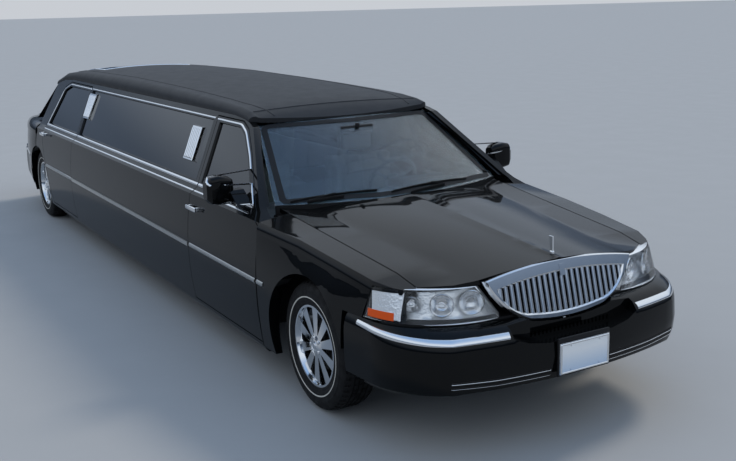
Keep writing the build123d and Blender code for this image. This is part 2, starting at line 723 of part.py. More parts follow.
hatch = roof & block((HATCH_REAR + SEAT_GAP, SEAT_GAP - HATCH_Y, RAIL_Z - 50),
                     (HATCH_FRONT - SEAT_GAP, HATCH_Y - SEAT_GAP, RAIL_Z + 200))
roof = roof - block((HATCH_REAR, -HATCH_Y, RAIL_Z - 50), (HATCH_FRONT, HATCH_Y, RAIL_Z + 200))
keep("roof", roof)
keep("roof_hatch", hatch)

# Chassis frame
FRAME_LOW = 235
FRAME_HIGH = 345
CROSS_HIGH = 290
KICK_LOW = 405
KICK_HIGH = 490
TAIL_LOW = 300
TAIL_HIGH = 390
rail_side = [
    (FRAME_NOSE, FRAME_LOW), (FRAME_NOSE, 400), (front(560), 400), (front(520), FRAME_HIGH), (rear(345), FRAME_HIGH),
    (rear(190), KICK_HIGH), (rear(-190), KICK_HIGH), (rear(-345), TAIL_HIGH), (FRAME_TAIL, TAIL_HIGH),
    (FRAME_TAIL, TAIL_LOW), (rear(-300), TAIL_LOW), (rear(-120), KICK_LOW), (rear(120), KICK_LOW),
    (rear(345), FRAME_LOW)]
JACK_X = front(-1000)
CROSSMEMBERS = [front(-520), front(-1900), front(-3300), rear(1400), rear(500)]
frame_parts = []
for y in (-FRAME_Y, FRAME_Y):
    frame_parts.append(prism(loop(along(y - RAIL_WIDTH / 2), rail_side), (0, RAIL_WIDTH, 0)))
    frame_parts.append(block((JACK_X - 60, y - 30, FRAME_LOW - 10), (JACK_X + 60, y + 30, FRAME_LOW + 5)))
for x in [front(650)] + CROSSMEMBERS:
    frame_parts.append(block((x - 40, -FRAME_Y, FRAME_LOW + 5), (x + 40, FRAME_Y, CROSS_HIGH)))
for x in (rear(-500), rear(-1200)):
    frame_parts.append(block((x - 40, -FRAME_Y, TAIL_LOW + 5), (x + 40, FRAME_Y, TAIL_HIGH - 5)))
frame = frame_parts[0].fuse(*frame_parts[1:])
keep("chassis_frame", frame)

# Floor pan
FLOOR_Z = FRAME_HIGH + SEAT_GAP
SHEET = 22
FLOOR_TOP = FLOOR_Z + SHEET
TUNNEL_Y = 80
TUNNEL_Z = 430
FLOOR_EDGE = SILL_Y - DOOR_THICKNESS + 5
floor_half = [(FLOOR_EDGE, FLOOR_TOP), (TUNNEL_Y + SHEET, FLOOR_TOP), (TUNNEL_Y + SHEET, TUNNEL_Z + SHEET)]
floor_low = [(TUNNEL_Y, TUNNEL_Z), (TUNNEL_Y, FLOOR_Z), (FLOOR_EDGE, FLOOR_Z)]
floor_points = floor_half + [(-y, z) for y, z in floor_half[::-1]]
floor_points += [(-y, z) for y, z in floor_low[::-1]] + floor_low
FLOOR_START = front(-600)
FLOOR_END = rear(360)
floor = prism(loop(across(FLOOR_END), floor_points), (FLOOR_START - FLOOR_END, 0, 0))
for sense in (-1, 1):
    arch_y = sorted((sense * 690, sense * 900))
    floor = floor - block((FLOOR_END - 1, arch_y[0], 300), (rear(450), arch_y[1], 500))
    sill_y = sorted((sense * (FLOOR_EDGE - 5), sense * (FLOOR_EDGE + 30)))
    floor = floor + block((rear(1440), sill_y[0], FLOOR_Z), (front(-1650), sill_y[1], FLOOR_TOP))
floor = floor - body_side - other_side(body_side)
keep("floor_pan", largest(floor))
FIREWALL_TOP = 900
firewall = block((FLOOR_START, -820, FLOOR_Z), (FLOOR_START + 15, 820, FIREWALL_TOP))
keep("firewall", firewall)

# Inner fenders: a wall on the frame rail, a roof over the wheel and an end plate each side of it
INNER_SHEET = 6
INNER_Y = FRAME_Y + RAIL_WIDTH / 2 - INNER_SHEET
INNER_TOP = 774
inner = block((FLOOR_START + 15 + SEAT_GAP, INNER_Y, FLOOR_Z), (front(520), INNER_Y + INNER_SHEET, INNER_TOP))
inner = inner + block((front(-476), INNER_Y, INNER_TOP), (front(476), 900, INNER_TOP + INNER_SHEET))
for x in (front(-476), front(470)):
    inner = inner + block((x, INNER_Y, FLOOR_Z), (x + INNER_SHEET, 900, INNER_TOP + INNER_SHEET))
inner = inner - block((front(-70), INNER_Y - 5, FLOOR_Z + 90), (front(70), INNER_Y + INNER_SHEET + 5, 560))
inner = largest(inner - fender)
inner = largest(inner - bumper_outer)
keep("inner_fenders", inner, other_side(inner))
engine = softened((front(-420), -270, 390), (front(380), 270, 800), 25)
ENGINE_MOUNT_Y = 325
engine = engine + block((front(-40), SEAT_GAP - ENGINE_MOUNT_Y, 400), (front(40), ENGINE_MOUNT_Y - SEAT_GAP, 460))
keep("engine_block", engine)

# Nose carrier: shelf under the lamps, plate behind the grille, legs on the frame and two hood stops
shelf_top = LAMP_LOW_Z - SEAT_GAP
carrier = prism(nose_plan(BUMPER_LEDGE + SEAT_GAP, shelf_top - 20), (0, 0, 20))
carrier = carrier - block((front(300), -1000, 600), (front(640), 1000, 700))
carrier = carrier - behind(grille_outline(-20, GRILLE_OUTER, 10), 20 + GRILLE_DEPTH + SEAT_GAP)
plate_back = behind(grille_outline(GRILLE_DEPTH + SEAT_GAP, GRILLE_INNER, 12), 14)
carrier = carrier + plate_back
for y in (-FRAME_Y, FRAME_Y):
    carrier = carrier + block((front(645), y - 30, 400 + SEAT_GAP), (FRAME_NOSE, y + 30, shelf_top))
for y in (-300, 300):
    post = block((front(660), y - 18, shelf_top - 10), (front(696), y + 18, 880))
    carrier = carrier + (post - hood.moved(Location((0, 0, -SEAT_GAP))))
carrier = carrier - grille - headlamp - other_side(headlamp) - fender - other_side(fender)
keep("nose_carrier", largest(carrier))

# Wheels
HUB_FACE = 40
TYRE_OUTLINE = [(98.5, RIM_RADIUS), (112.5, 285), (98, 333), (60, TYRE_RADIUS)]


def wheel_point(x, y, out):
    """Puts (distance out from the wheel's middle, radius) on a plane through its axle."""
    return lambda p: Vector(x + p[1], y + out * p[0], TYRE_RADIUS)


def tyre(x, y, out):
    """Tyre centred on its wheel, with straight-sided shoulders."""
    points = [(-a * TYRE_WIDTH / 225, r) for a, r in TYRE_OUTLINE]
    points += [(a * TYRE_WIDTH / 225, r) for a, r in TYRE_OUTLINE[::-1]]
    return Solid.revolve(loop(wheel_point(x, y, out), points), 360, Axis((x, y, TYRE_RADIUS), (0, 1, 0)))


def rim(x, y, out):
    """Rim with its barrel, centre disc and ten flat spokes; out is +1 on the left."""
    axle = Axis((x, y, TYRE_RADIUS), (0, 1, 0))
    seat = RIM_RADIUS - SEAT_GAP
    barrel = loop(wheel_point(x, y, out), [
        (-98, seat), (98, seat), (98, seat - 11), (60, seat - 25), (-98, seat - 13)])
    shape = Solid.revolve(barrel, 360, axle)
    hub = loop(wheel_point(x, y, out), [(HUB_FACE, 0), (96, 0), (96, 30), (84, 66), (HUB_FACE, 66)])
    shape = shape + Solid.revolve(hub, 360, axle)
    for i in range(10):
        spoke = loop(lambda p: Vector(x + p[0], y + out * 58, TYRE_RADIUS + p[1]), [
            (-17, 50), (17, 50), (31, RIM_RADIUS - 16), (-31, RIM_RADIUS - 16)])
        shape = shape + prism(spoke, (0, out * 26, 0)).rotate(axle, 36 * i)
    return shape


WHEELS = [
    ("front_left", FRONT_AXLE, FRONT_TRACK / 2, 1),
    ("front_right", FRONT_AXLE, -FRONT_TRACK / 2, -1),
    ("rear_left", REAR_AXLE, REAR_TRACK / 2, 1),
    ("rear_right", REAR_AXLE, -REAR_TRACK / 2, -1),
]
for name, x, y, out in WHEELS:
    keep("tyre_" + name, tyre(x, y, out))
    keep("rim_" + name, rim(x, y, out))

# Windscreen and rear window
SCREEN_T = 8


def screen_face(z, corner_x, corner_y, centre_x, sense):
    """Curved slice of a screen at a height; sense is 1 where the glass bows forwards."""
    mid = (0.75 * centre_x + 0.25 * corner_x, 0.5 * corner_y)
    back = -SCREEN_T * sense
    return loop(level(z), [
        (corner_x, -corner_y), ((centre_x, 0), (corner_x, corner_y)), (corner_x + back, corner_y),
        ((centre_x + back, 0), (corner_x + back, -corner_y))])


SCREEN_LOW = 985
windscreen = loft([screen_face(SCREEN_LOW, front(-660), 783, front(-455), 1),
                   screen_face(house(1), front(-1290), 598, front(-1222), 1)], ruled=True)
pillars = screen_pillar + other_side(screen_pillar)
windscreen = windscreen - pillars - body_side - other_side(body_side) - roof
keep("windscreen", largest(windscreen))
rear_window = loft([screen_face(SHELF_Z + SEAT_GAP, rear(-440), 850, rear(-530), -1),
                    screen_face(house(1), rear(-70), 640, rear(-60), -1)], ruled=True)
rear_window = rear_window - body_side - other_side(body_side) - roof
keep("rear_window", largest(rear_window))

# Cowl: a tray on the firewall under the hood's rear edge, and the upstand that carries the windscreen
COWL_TOP = 925
cowl_front = [(front(-440), 0), ((front(-485), 300), (front(-600), 775))]
cowl = prism(loop(level(FIREWALL_TOP + SEAT_GAP), cowl_front + [
    (front(-692), 783), ((front(-560), 391), (front(-520), 0)), ((front(-560), -391), (front(-692), -783)),
    (front(-600), -775), ((front(-485), -300), (front(-440), 0))]), (0, 0, COWL_TOP - FIREWALL_TOP - SEAT_GAP))
upstand = prism(screen_face(COWL_TOP - 5, front(-660), 783, front(-455), 1), (0, 0, 5 + SCREEN_LOW - SEAT_GAP - COWL_TOP))
cowl = (cowl + upstand) - body_side - other_side(body_side)
keep("cowl", largest(cowl))

# Dashboard and steering wheel
DASH_Y = 820
dash = prism(loop(along(-DASH_Y), [
    (FLOOR_START - SEAT_GAP, 640), (FLOOR_START - SEAT_GAP, FIREWALL_TOP - 20), (front(-700), 895), (front(-760), 945),
    (front(-960), 940), (front(-1010), 900), (front(-1010), 720), (front(-900), 640)]), (0, 2 * DASH_Y, 0))
keep("dashboard", dash)
WHEEL_TILT = 25
WHEEL_CENTRE = (front(-1253), 370, 916)
wheel_axis = Vector(-cos(radians(WHEEL_TILT)), 0, sin(radians(WHEEL_TILT)))
wheel_plane = Plane(WHEEL_CENTRE, x_dir=(0, 1, 0), z_dir=wheel_axis)
GRIP_RADIUS = 176
grip = loop(lambda p: wheel_plane.from_local_coords(Vector(p[0], 0, p[1])), [
    (GRIP_RADIUS - 14, -6), (GRIP_RADIUS - 6, -14), (GRIP_RADIUS + 6, -14), (GRIP_RADIUS + 14, -6),
    (GRIP_RADIUS + 14, 6), (GRIP_RADIUS + 6, 14), (GRIP_RADIUS - 6, 14), (GRIP_RADIUS - 14, 6)])
steering_wheel = Solid.revolve(grip, 360, Axis(WHEEL_CENTRE, wheel_axis))
steering_wheel = steering_wheel + Solid.make_cylinder(52, 34, wheel_plane.offset(-20))
for turn in (0, 120, 240):
    spoke_end = wheel_plane.from_local_coords(Vector(172 * sin(radians(turn)), 172 * cos(radians(turn)), 0))
    steering_wheel = steering_wheel + rod(WHEEL_CENTRE, spoke_end, 9)
keep("steering_wheel", steering_wheel)
column = rod(wheel_plane.offset(-20 - SEAT_GAP).origin, wheel_plane.offset(-330).origin, 28)
keep("steering_column", column - dash)

# Seats, partition and cabin furniture
SEAT_Z = 420


def seat(x_front, y0, y1, back_top):
    """Seat facing forwards: cushion, back and headrest."""
    cushion = softened((x_front - 560, y0, SEAT_Z), (x_front, y1, SEAT_Z + 190), 35)
    back = softened((x_front - 700, y0, SEAT_Z + 90), (x_front - 540, y1, back_top), 35)
    middle = 0.5 * (y0 + y1)
    head = softened((x_front - 690, middle - 135, back_top - 20), (x_front - 590, middle + 135, back_top + 170), 30)
    plinth = block((x_front - 520, y0 + 60, FLOOR_TOP + SEAT_GAP), (x_front - 60, y1 - 60, SEAT_Z + 60))
    return cushion + back + head + plinth


front_seat = seat(front(-1180), 130, 690, 1060)
keep("front_seats", front_seat, other_side(front_seat))
PARTITION_X = front(-2010)
TUNNEL_ROOM = block((REAR_AXLE, -TUNNEL_Y - SHEET - SEAT_GAP, 0),
                    (FRONT_AXLE, TUNNEL_Y + SHEET + SEAT_GAP, TUNNEL_Z + SHEET + SEAT_GAP))
partition = block((PARTITION_X - 40, -810, FLOOR_TOP + SEAT_GAP), (PARTITION_X, 810, 930)) - TUNNEL_ROOM
keep("partition", partition)
rear_bench = seat(rear(920), -680, 680, 1010) - TUNNEL_ROOM
keep("rear_bench", rear_bench)
LOUNGE_FRONT = front(-2300)
LOUNGE_REAR = rear(1460)
lounge = softened((LOUNGE_REAR, 330, SEAT_Z), (LOUNGE_FRONT, 800, SEAT_Z + 170), 35)
lounge = lounge + softened((LOUNGE_REAR, 690, SEAT_Z), (LOUNGE_FRONT, 810, 960), 30)
lounge = lounge + block((LOUNGE_REAR + 60, 390, FLOOR_TOP + SEAT_GAP), (LOUNGE_FRONT - 60, 790, SEAT_Z + 60))
keep("lounge_seat", lounge)
BAR_REAR = rear(1900)
BAR_TOP = 830
bar = block((BAR_REAR, -810, FLOOR_TOP + SEAT_GAP), (LOUNGE_FRONT, -480, BAR_TOP))
keep("bar_cabinet", bar)

# Front suspension: crossmember, towers and arms whose pins enter the knuckles
KING_Y = FRONT_TRACK / 2 - 75
KNUCKLE_LOW = 212
KNUCKLE_HIGH = 494
PIN_RADIUS = 12
PIN_LENGTH = 40
ARM_CLEARANCE = 6
ARM_THICKNESS = 15
TOWER_LOW = KNUCKLE_LOW - ARM_CLEARANCE - ARM_THICKNESS
TOWER_HIGH = KNUCKLE_HIGH + ARM_CLEARANCE + ARM_THICKNESS
CROSS_Y = FRAME_Y - RAIL_WIDTH / 2 - SEAT_GAP
arm_parts = [block((front(-60), -CROSS_Y, 220), (front(60), CROSS_Y, 300))]
knuckle = rod((front(0), KING_Y, KNUCKLE_LOW), (front(0), KING_Y, KNUCKLE_HIGH), 30)
knuckle = knuckle + tube_y(front(0), TYRE_RADIUS, KING_Y, FRONT_TRACK / 2 + HUB_FACE - SEAT_GAP, 34)
for arm_z, end, sense in ((TOWER_LOW, KNUCKLE_LOW, 1), (TOWER_HIGH - ARM_THICKNESS, KNUCKLE_HIGH, -1)):
    pin_end = end + sense * PIN_LENGTH
    arm = block((front(-18), ENGINE_MOUNT_Y, arm_z), (front(18), KING_Y + 18, arm_z + ARM_THICKNESS))
    arm = arm + rod((front(0), KING_Y, arm_z + ARM_THICKNESS / 2), (front(0), KING_Y, pin_end), PIN_RADIUS)
    arm_parts.extend([arm, other_side(arm)])
    bore_end = pin_end + sense * SEAT_GAP
    knuckle = knuckle - rod((front(0), KING_Y, end - sense), (front(0), KING_Y, bore_end), PIN_RADIUS + SEAT_GAP)
tower = block((front(-50), ENGINE_MOUNT_Y, TOWER_LOW), (front(50), ENGINE_MOUNT_Y + 50, TOWER_HIGH))
suspension = arm_parts[0].fuse(*arm_parts[1:], tower, other_side(tower))
keep("front_suspension", suspension)
keep_pair("knuckle", knuckle)

# Rear axle with its round casing, spring seats and propeller shaft
axle_end = REAR_TRACK / 2 + HUB_FACE - SEAT_GAP
axle = tube_y(rear(0), TYRE_RADIUS, -axle_end, axle_end, 42)
casing = loop(lambda p: Vector(rear(0) + p[1], p[0], TYRE_RADIUS), [
    (-130, 0), (-130, 60), (-95, 105), (-40, 132), (40, 132), (95, 105), (130, 60), (130, 0)])
axle = axle + Solid.revolve(casing, 360, Axis((rear(0), 0, TYRE_RADIUS), (0, 1, 0)))
for y in (-FRAME_Y, FRAME_Y):
    axle = axle + block((rear(-45), y - 35, TYRE_RADIUS), (rear(45), y + 35, KICK_LOW - SEAT_GAP))
axle = axle + rod((rear(40), 0, 372), (front(-700), 0, 385), 36)
keep("rear_axle", axle)
tank = softened((rear(-1060), -CROSS_Y, 245), (rear(-560), CROSS_Y, 385), 20)
keep("fuel_tank", tank)

# Exhaust: two pipes with silencers, each hung from the crossmembers
PIPE_Y = 300
PIPE_Z = 200
pipes = []
for y in (-PIPE_Y, PIPE_Y):
    pipe = rod((rear(-1370), y, PIPE_Z), (front(-700), y, PIPE_Z), 26)
    pipe = pipe + rod((rear(700), y, PIPE_Z), (rear(1250), y, PIPE_Z), 62)
    for x in CROSSMEMBERS[1:]:
        pipe = pipe + block((x - 12, y - 12, PIPE_Z), (x + 12, y + 12, FRAME_LOW + 5 - SEAT_GAP))
    pipes.append(pipe)
keep("exhaust", *pipes)

# Chrome along the sides
MOULDING_Z = 596
moulding = block((rear(1378) + 20, WIDE_Y - 2, MOULDING_Z - 14), (front(-1600) - 20, WIDE_Y + 7, MOULDING_Z + 14))
moulding = moulding - body_side
keep("side_moulding", moulding, other_side(moulding))
FEATHERS = [
    # foot front, foot rear, foot height share, top front, top rear, top height share
    (front(-1852), front(-2025), 0.292, front(-1919), front(-2091), 0.747),
    (rear(1491), rear(1310), 0.378, rear(1430), rear(1222), 0.831),
]
FEATHER_PROUD = 7
feather_wall = prism(wall_face(CABIN_END, -FEATHER_PROUD, FRAME_THICKNESS - 16 + SEAT_GAP),
                     (CABIN_START - CABIN_END, 0, 0)) - body_side
feathers = []
for foot_front, foot_rear, foot, top_front, top_rear, top in FEATHERS:
    outline = [(foot_front, house(foot)), (foot_rear, house(foot)), (top_rear, house(top)), (top_front, house(top))]
    feather = largest(prism(loop(along(600), outline), (0, 500, 0)) & feather_wall)
    feathers.append(feather)
    feathers.append(other_side(feather))
keep("window_bars", *feathers)

os.makedirs("parts", exist_ok=True)
for name, shape in NODES.items():
    export_step(shape, "parts/" + name + ".step")
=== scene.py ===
# %% [markdown]
# # A black stretch limousine, dressed for its picture
#
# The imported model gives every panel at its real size. This lesson loads it, gives each panel the finish
# of the real one, and adds what a panel builder would not draw: chrome strips, lamp insides, tyres with
# tread, seats with seams. Lengths are metres, with +X to the front and +Y to the car's left.

# %% Load the fixed frame
import bpy
import bmesh
import json
import math
from mathutils import Matrix, Vector
from mathutils.bvhtree import BVHTree

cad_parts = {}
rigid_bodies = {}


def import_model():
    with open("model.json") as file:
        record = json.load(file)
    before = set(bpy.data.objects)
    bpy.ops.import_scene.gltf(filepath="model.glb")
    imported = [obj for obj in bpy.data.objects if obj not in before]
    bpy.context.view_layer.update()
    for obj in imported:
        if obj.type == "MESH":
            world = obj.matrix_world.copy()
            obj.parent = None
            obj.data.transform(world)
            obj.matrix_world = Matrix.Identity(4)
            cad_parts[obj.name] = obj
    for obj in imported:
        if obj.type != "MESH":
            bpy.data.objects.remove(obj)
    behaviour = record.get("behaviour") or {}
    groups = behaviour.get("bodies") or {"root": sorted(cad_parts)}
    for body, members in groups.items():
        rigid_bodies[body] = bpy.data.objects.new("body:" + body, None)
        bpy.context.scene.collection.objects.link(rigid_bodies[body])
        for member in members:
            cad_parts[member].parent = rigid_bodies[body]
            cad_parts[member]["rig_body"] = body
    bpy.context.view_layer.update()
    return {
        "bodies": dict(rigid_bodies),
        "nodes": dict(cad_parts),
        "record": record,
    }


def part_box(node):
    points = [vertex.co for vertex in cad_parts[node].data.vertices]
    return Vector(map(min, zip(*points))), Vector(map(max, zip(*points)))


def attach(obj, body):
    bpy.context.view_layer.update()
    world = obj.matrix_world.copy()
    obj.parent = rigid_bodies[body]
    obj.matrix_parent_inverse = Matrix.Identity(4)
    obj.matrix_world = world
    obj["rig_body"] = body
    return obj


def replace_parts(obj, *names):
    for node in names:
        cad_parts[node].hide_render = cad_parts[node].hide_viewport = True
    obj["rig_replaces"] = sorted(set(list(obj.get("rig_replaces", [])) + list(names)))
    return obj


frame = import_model()
nodes = frame["nodes"]

# %% [markdown]
# The wheels tell where the axles are, so no length is typed twice: every station along the car is
# counted from the front or the rear axle, as a coachbuilder does.

# %% Find the axles


def middle(node):
    """Centre of a node's box."""
    low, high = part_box(node)
    return (low + high) / 2


front_axle = middle("tyre_front_left").x
rear_axle = middle("tyre_rear_left").x
print("front axle", round(front_axle, 3), "rear axle", round(rear_axle, 3))

# %% [markdown]
# ## The camera
#
# The picture was taken from the car's front right corner at a little above head height. The camera's
# place is counted from the front axle, and it is turned by a heading, a tilt and a small roll.

# %% Set up the camera
CAMERA_FROM_AXLE = Vector((4.4585, -3.1216, 2.1300))
CAMERA_HEADING, CAMERA_TILT, CAMERA_ROLL = 150.060, 13.1286, -1.5232
CAMERA_LENS = 48.54


def camera_turn(heading, tilt, roll):
    """Rotation matrix of a camera that looks along a heading, tilted down, then rolled."""
    h, t, r = (math.radians(a) for a in (heading, tilt, roll))
    ahead = Vector((math.cos(h) * math.cos(t), math.sin(h) * math.cos(t), -math.sin(t)))
    right = ahead.cross(Vector((0, 0, 1))).normalized()
    up = right.cross(ahead)
    right, up = right * math.cos(r) + up * math.sin(r), up * math.cos(r) - right * math.sin(r)
    return Matrix((right, up, -ahead)).transposed()


camera_data = bpy.data.cameras.new("camera")
camera_data.lens = CAMERA_LENS
camera_data.clip_end = 200
camera = bpy.data.objects.new("camera", camera_data)
camera.location = CAMERA_FROM_AXLE + Vector((front_axle, 0, 0))
camera.rotation_mode = "QUATERNION"
camera.rotation_quaternion = camera_turn(CAMERA_HEADING, CAMERA_TILT, CAMERA_ROLL).to_quaternion()
bpy.context.scene.collection.objects.link(camera)
bpy.context.scene.camera = camera
print("camera at", [round(v, 2) for v in camera.location])

# %% [markdown]
# ## Colours and nodes
#
# Colours are written as sRGB hex, as a paint chart gives them, and turned to linear light here.
# One helper adds a shader node with its settings and its links.

# %% Helpers for materials


def colour(hex_code):
    """Linear RGBA from an sRGB hex code."""
    channels = [int(hex_code[i:i + 2], 16) / 255 for i in (1, 3, 5)]
    linear = [c / 12.92 if c <= 0.04045 else ((c + 0.055) / 1.055) ** 2.4 for c in channels]
    return (*linear, 1.0)


def add_node(material, kind, settings=None, links=None):
    """Adds a node: settings go to its own properties or its inputs, links join inputs to outputs."""
    node = material.node_tree.nodes.new(kind)
    for name, value in (settings or {}).items():
        if hasattr(node, name):
            setattr(node, name, value)
        else:
            node.inputs[name].default_value = value
    for name, source in (links or {}).items():
        material.node_tree.links.new(source, node.inputs[name])
    return node


def new_material(name, **settings):
    """A principled material with its plain settings; names use _ for the spaces in socket names."""
    material = bpy.data.materials.new(name)
    material.use_nodes = True
    shader = material.node_tree.nodes["Principled BSDF"]
    for key, value in settings.items():
        shader.inputs[key.replace("_", " ")].default_value = value
    return material, shader


def link(material, output, socket):
    """Joins an output to a socket."""
    material.node_tree.links.new(output, socket)


def place(material, scale):
    """Object coordinates multiplied by a scale for each axis, for patterns fixed to the piece."""
    coordinates = add_node(material, "ShaderNodeTexCoord")
    mapping = add_node(material, "ShaderNodeMapping", {"Scale": scale},
                       {"Vector": coordinates.outputs["Object"]})
    return mapping.outputs["Vector"]


def uneven(material, shader, socket, low, high, grain_mm):
    """Lets noise of a grain size vary a socket between two values."""
    noise = add_node(material, "ShaderNodeTexNoise", {"Scale": 1.0, "Detail": 3.0},
                     {"Vector": place(material, (1000 / grain_mm,) * 3)})
    spread = add_node(material, "ShaderNodeMapRange",
                      {"From Min": 0.3, "From Max": 0.7, "To Min": low, "To Max": high},
                      {"Value": noise.outputs["Fac"]})
    link(material, spread.outputs["Result"], shader.inputs[socket])


def grain(material, shader, size_mm, height_mm, kind="ShaderNodeTexNoise"):
    """Bump of a grain size and height."""
    texture = add_node(material, kind, {"Scale": 1.0}, {"Vector": place(material, (1000 / size_mm,) * 3)})
    output = texture.outputs["Fac"] if "Fac" in texture.outputs else texture.outputs["Distance"]
    bump = add_node(material, "ShaderNodeBump", {"Strength": 1.0, "Distance": height_mm / 1000},
                    {"Height": output})
    link(material, bump.outputs["Normal"], shader.inputs["Normal"])
    return texture


def two_tone(material, shader, factor, low, high):
    """Colours a material between two tones by a factor."""
    tone = add_node(material, "ShaderNodeValToRGB", {}, {"Fac": factor})
    for stop, code in zip(tone.color_ramp.elements, (low, high)):
        stop.color = colour(code)
    link(material, tone.outputs["Color"], shader.inputs["Base Color"])
    return tone


# %% [markdown]
# ## Finishes
#
# Each material is named for what it is on the car and how its surface was made.

# %% Body paint and vinyl


def make_black_lacquer():
    """Black base coat under clear lacquer: the colour layer is dull, and only the lacquer mirrors."""
    material, shader = new_material(
        "black_lacquer", Base_Color=colour("#030405"), Roughness=0.6, Specular_IOR_Level=0.02,
        Coat_Weight=0.75, Coat_IOR=1.34)
    uneven(material, shader, "Coat Roughness", 0.01, 0.05, 300)
    return material


def make_grained_vinyl():
    """Calendered vinyl stretched over the roof: matte, with a fine leather grain."""
    material, shader = new_material("grained_vinyl", Base_Color=colour("#15181d"), Roughness=0.55,
                                    Specular_IOR_Level=0.35)
    uneven(material, shader, "Roughness", 0.53, 0.58, 90)
    grain(material, shader, 4, 0.15)
    return material


paint = make_black_lacquer()
vinyl = make_grained_vinyl()

# %% Metal, glass, rubber and plastic


def make_polished_chrome():
    """Electroplated chrome on steel or plastic: a near mirror with faint wiping marks."""
    material, shader = new_material("polished_chrome", Base_Color=colour("#e2e4e6"), Metallic=1.0,
                                    Roughness=0.08)
    uneven(material, shader, "Roughness", 0.05, 0.13, 60)
    return material


def make_window_glass(name, tint, open_share=0.0):
    """Glass or clear plastic with a tint; a thin one lets an open share of the light straight through."""
    return new_material(name, Base_Color=colour(tint), Roughness=0.0, IOR=1.5, Transmission_Weight=1.0,
                        Alpha=1 - open_share)[0]


def make_tyre_rubber():
    """Vulcanised rubber with carbon black: dark, matte and a little dusty."""
    material, shader = new_material("tyre_rubber", Base_Color=colour("#111112"), Roughness=0.75,
                                    Specular_IOR_Level=0.3)
    uneven(material, shader, "Roughness", 0.6, 0.9, 40)
    return material


def make_moulded_plastic(name, tint, roughness):
    """Injection-moulded plastic with a spark-eroded grain."""
    material, shader = new_material(name, Base_Color=colour(tint), Roughness=roughness,
                                    Specular_IOR_Level=0.3)
    grain(material, shader, 3, 0.1)
    return material


def make_brushed_steel():
    """Stainless strip, rolled and brushed along its length: streaks that spread the light lengthwise."""
    material, shader = new_material("brushed_stainless", Base_Color=colour("#b9bab8"), Metallic=1.0,
                                    Roughness=0.28)
    streaks = add_node(material, "ShaderNodeTexNoise", {"Scale": 1.0, "Detail": 2.0},
                       {"Vector": place(material, (8, 900, 900))})
    spread = add_node(material, "ShaderNodeMapRange", {"To Min": 0.2, "To Max": 0.4},
                      {"Value": streaks.outputs["Fac"]})
    link(material, spread.outputs["Result"], shader.inputs["Roughness"])
    return material


def make_aluminised_plastic():
    """Lamp reflector: plastic with aluminium evaporated on it, fluted so that it sparkles."""
    material, shader = new_material("aluminised_reflector", Base_Color=colour("#f2f4f5"), Metallic=0.6,
                                    Roughness=0.2)
    grain(material, shader, 11, 1.2, "ShaderNodeTexVoronoi")
    return material


def make_seat_leather():
    """Dyed and embossed leather: a wrinkled grain with duller, paler high spots."""
    material, shader = new_material("embossed_leather", Base_Color=colour("#8a8781"), Roughness=0.5)
    cells = grain(material, shader, 5, 0.5, "ShaderNodeTexVoronoi")
    two_tone(material, shader, cells.outputs["Distance"], "#94918a", "#6f6c67")
    uneven(material, shader, "Roughness", 0.4, 0.62, 50)
    return material


def make_cut_pile_carpet():
    """Tufted carpet: dark, without gloss, with a pile that shades from tuft to tuft."""
    material, shader = new_material("cut_pile_carpet", Base_Color=colour("#3b3a3c"), Roughness=1.0,
                                    Sheen_Weight=0.4)
    tufts = grain(material, shader, 6, 2.0)
    two_tone(material, shader, tufts.outputs["Fac"], "#29282a", "#4d4b4e")
    return material


def make_plate_enamel():
    """Reflective sheeting on the plate: white above, fading to a pale blue foot, with no characters."""
    material, shader = new_material("white_plate_sheeting", Roughness=0.35)
    low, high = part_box("front_plate")
    coordinates = add_node(material, "ShaderNodeTexCoord")
    parts = add_node(material, "ShaderNodeSeparateXYZ", {}, {"Vector": coordinates.outputs["Object"]})
    share = add_node(material, "ShaderNodeMapRange", {"From Min": low.z, "From Max": high.z},
                     {"Value": parts.outputs["Z"]})
    fade = two_tone(material, shader, share.outputs["Result"], "#b4cbe4", "#eef1f3")
    fade.color_ramp.elements[1].position = 0.7
    grain(material, shader, 2, 0.05)
    return material


chrome = make_polished_chrome()
steel = make_brushed_steel()
reflector = make_aluminised_plastic()
screen_glass = make_window_glass("blue_green_float_glass", "#9cc6cf", open_share=0.3)
dark_glass = make_window_glass("black_privacy_glass", "#0b0c0d")
lens_glass = make_window_glass("clear_polycarbonate_lens", "#f8fafb", open_share=0.6)
projector_glass = make_window_glass("clear_projector_glass", "#ffffff")
red_lens = make_moulded_plastic("red_acrylic_lens", "#9c1014", 0.12)
amber = make_moulded_plastic("amber_acrylic_reflector", "#e2571b", 0.25)
rubber = make_tyre_rubber()
white_rubber = make_moulded_plastic("white_tyre_rubber", "#c9c6bd", 0.6)
gasket = make_moulded_plastic("black_gasket_rubber", "#0c0c0d", 0.55)
black_plastic = make_moulded_plastic("black_moulded_plastic", "#141416", 0.5)
grey_trim = make_moulded_plastic("grey_moulded_trim", "#5a5d60", 0.6)
leather = make_seat_leather()
carpet = make_cut_pile_carpet()
frame_paint = make_moulded_plastic("chassis_black_paint", "#101011", 0.45)
cast_iron = make_moulded_plastic("raw_cast_iron", "#3a3836", 0.6)
plate_paint = make_plate_enamel()

# %% Dress the CAD panels by their slots
WELD, CREASE = 0.00005, 28
finish_of = {
    "black_paint": paint, "vinyl_roof": vinyl, "chrome_trim": chrome, "clear_glass": screen_glass,
    "privacy_glass": dark_glass, "lamp_lens": lens_glass, "red_lens": red_lens,
    "black_plastic": black_plastic, "interior_leather": leather, "interior_trim": grey_trim,
    "frame_steel": frame_paint, "cast_metal": cast_iron, "tyre_rubber": rubber, "plate_white": plate_paint,
}
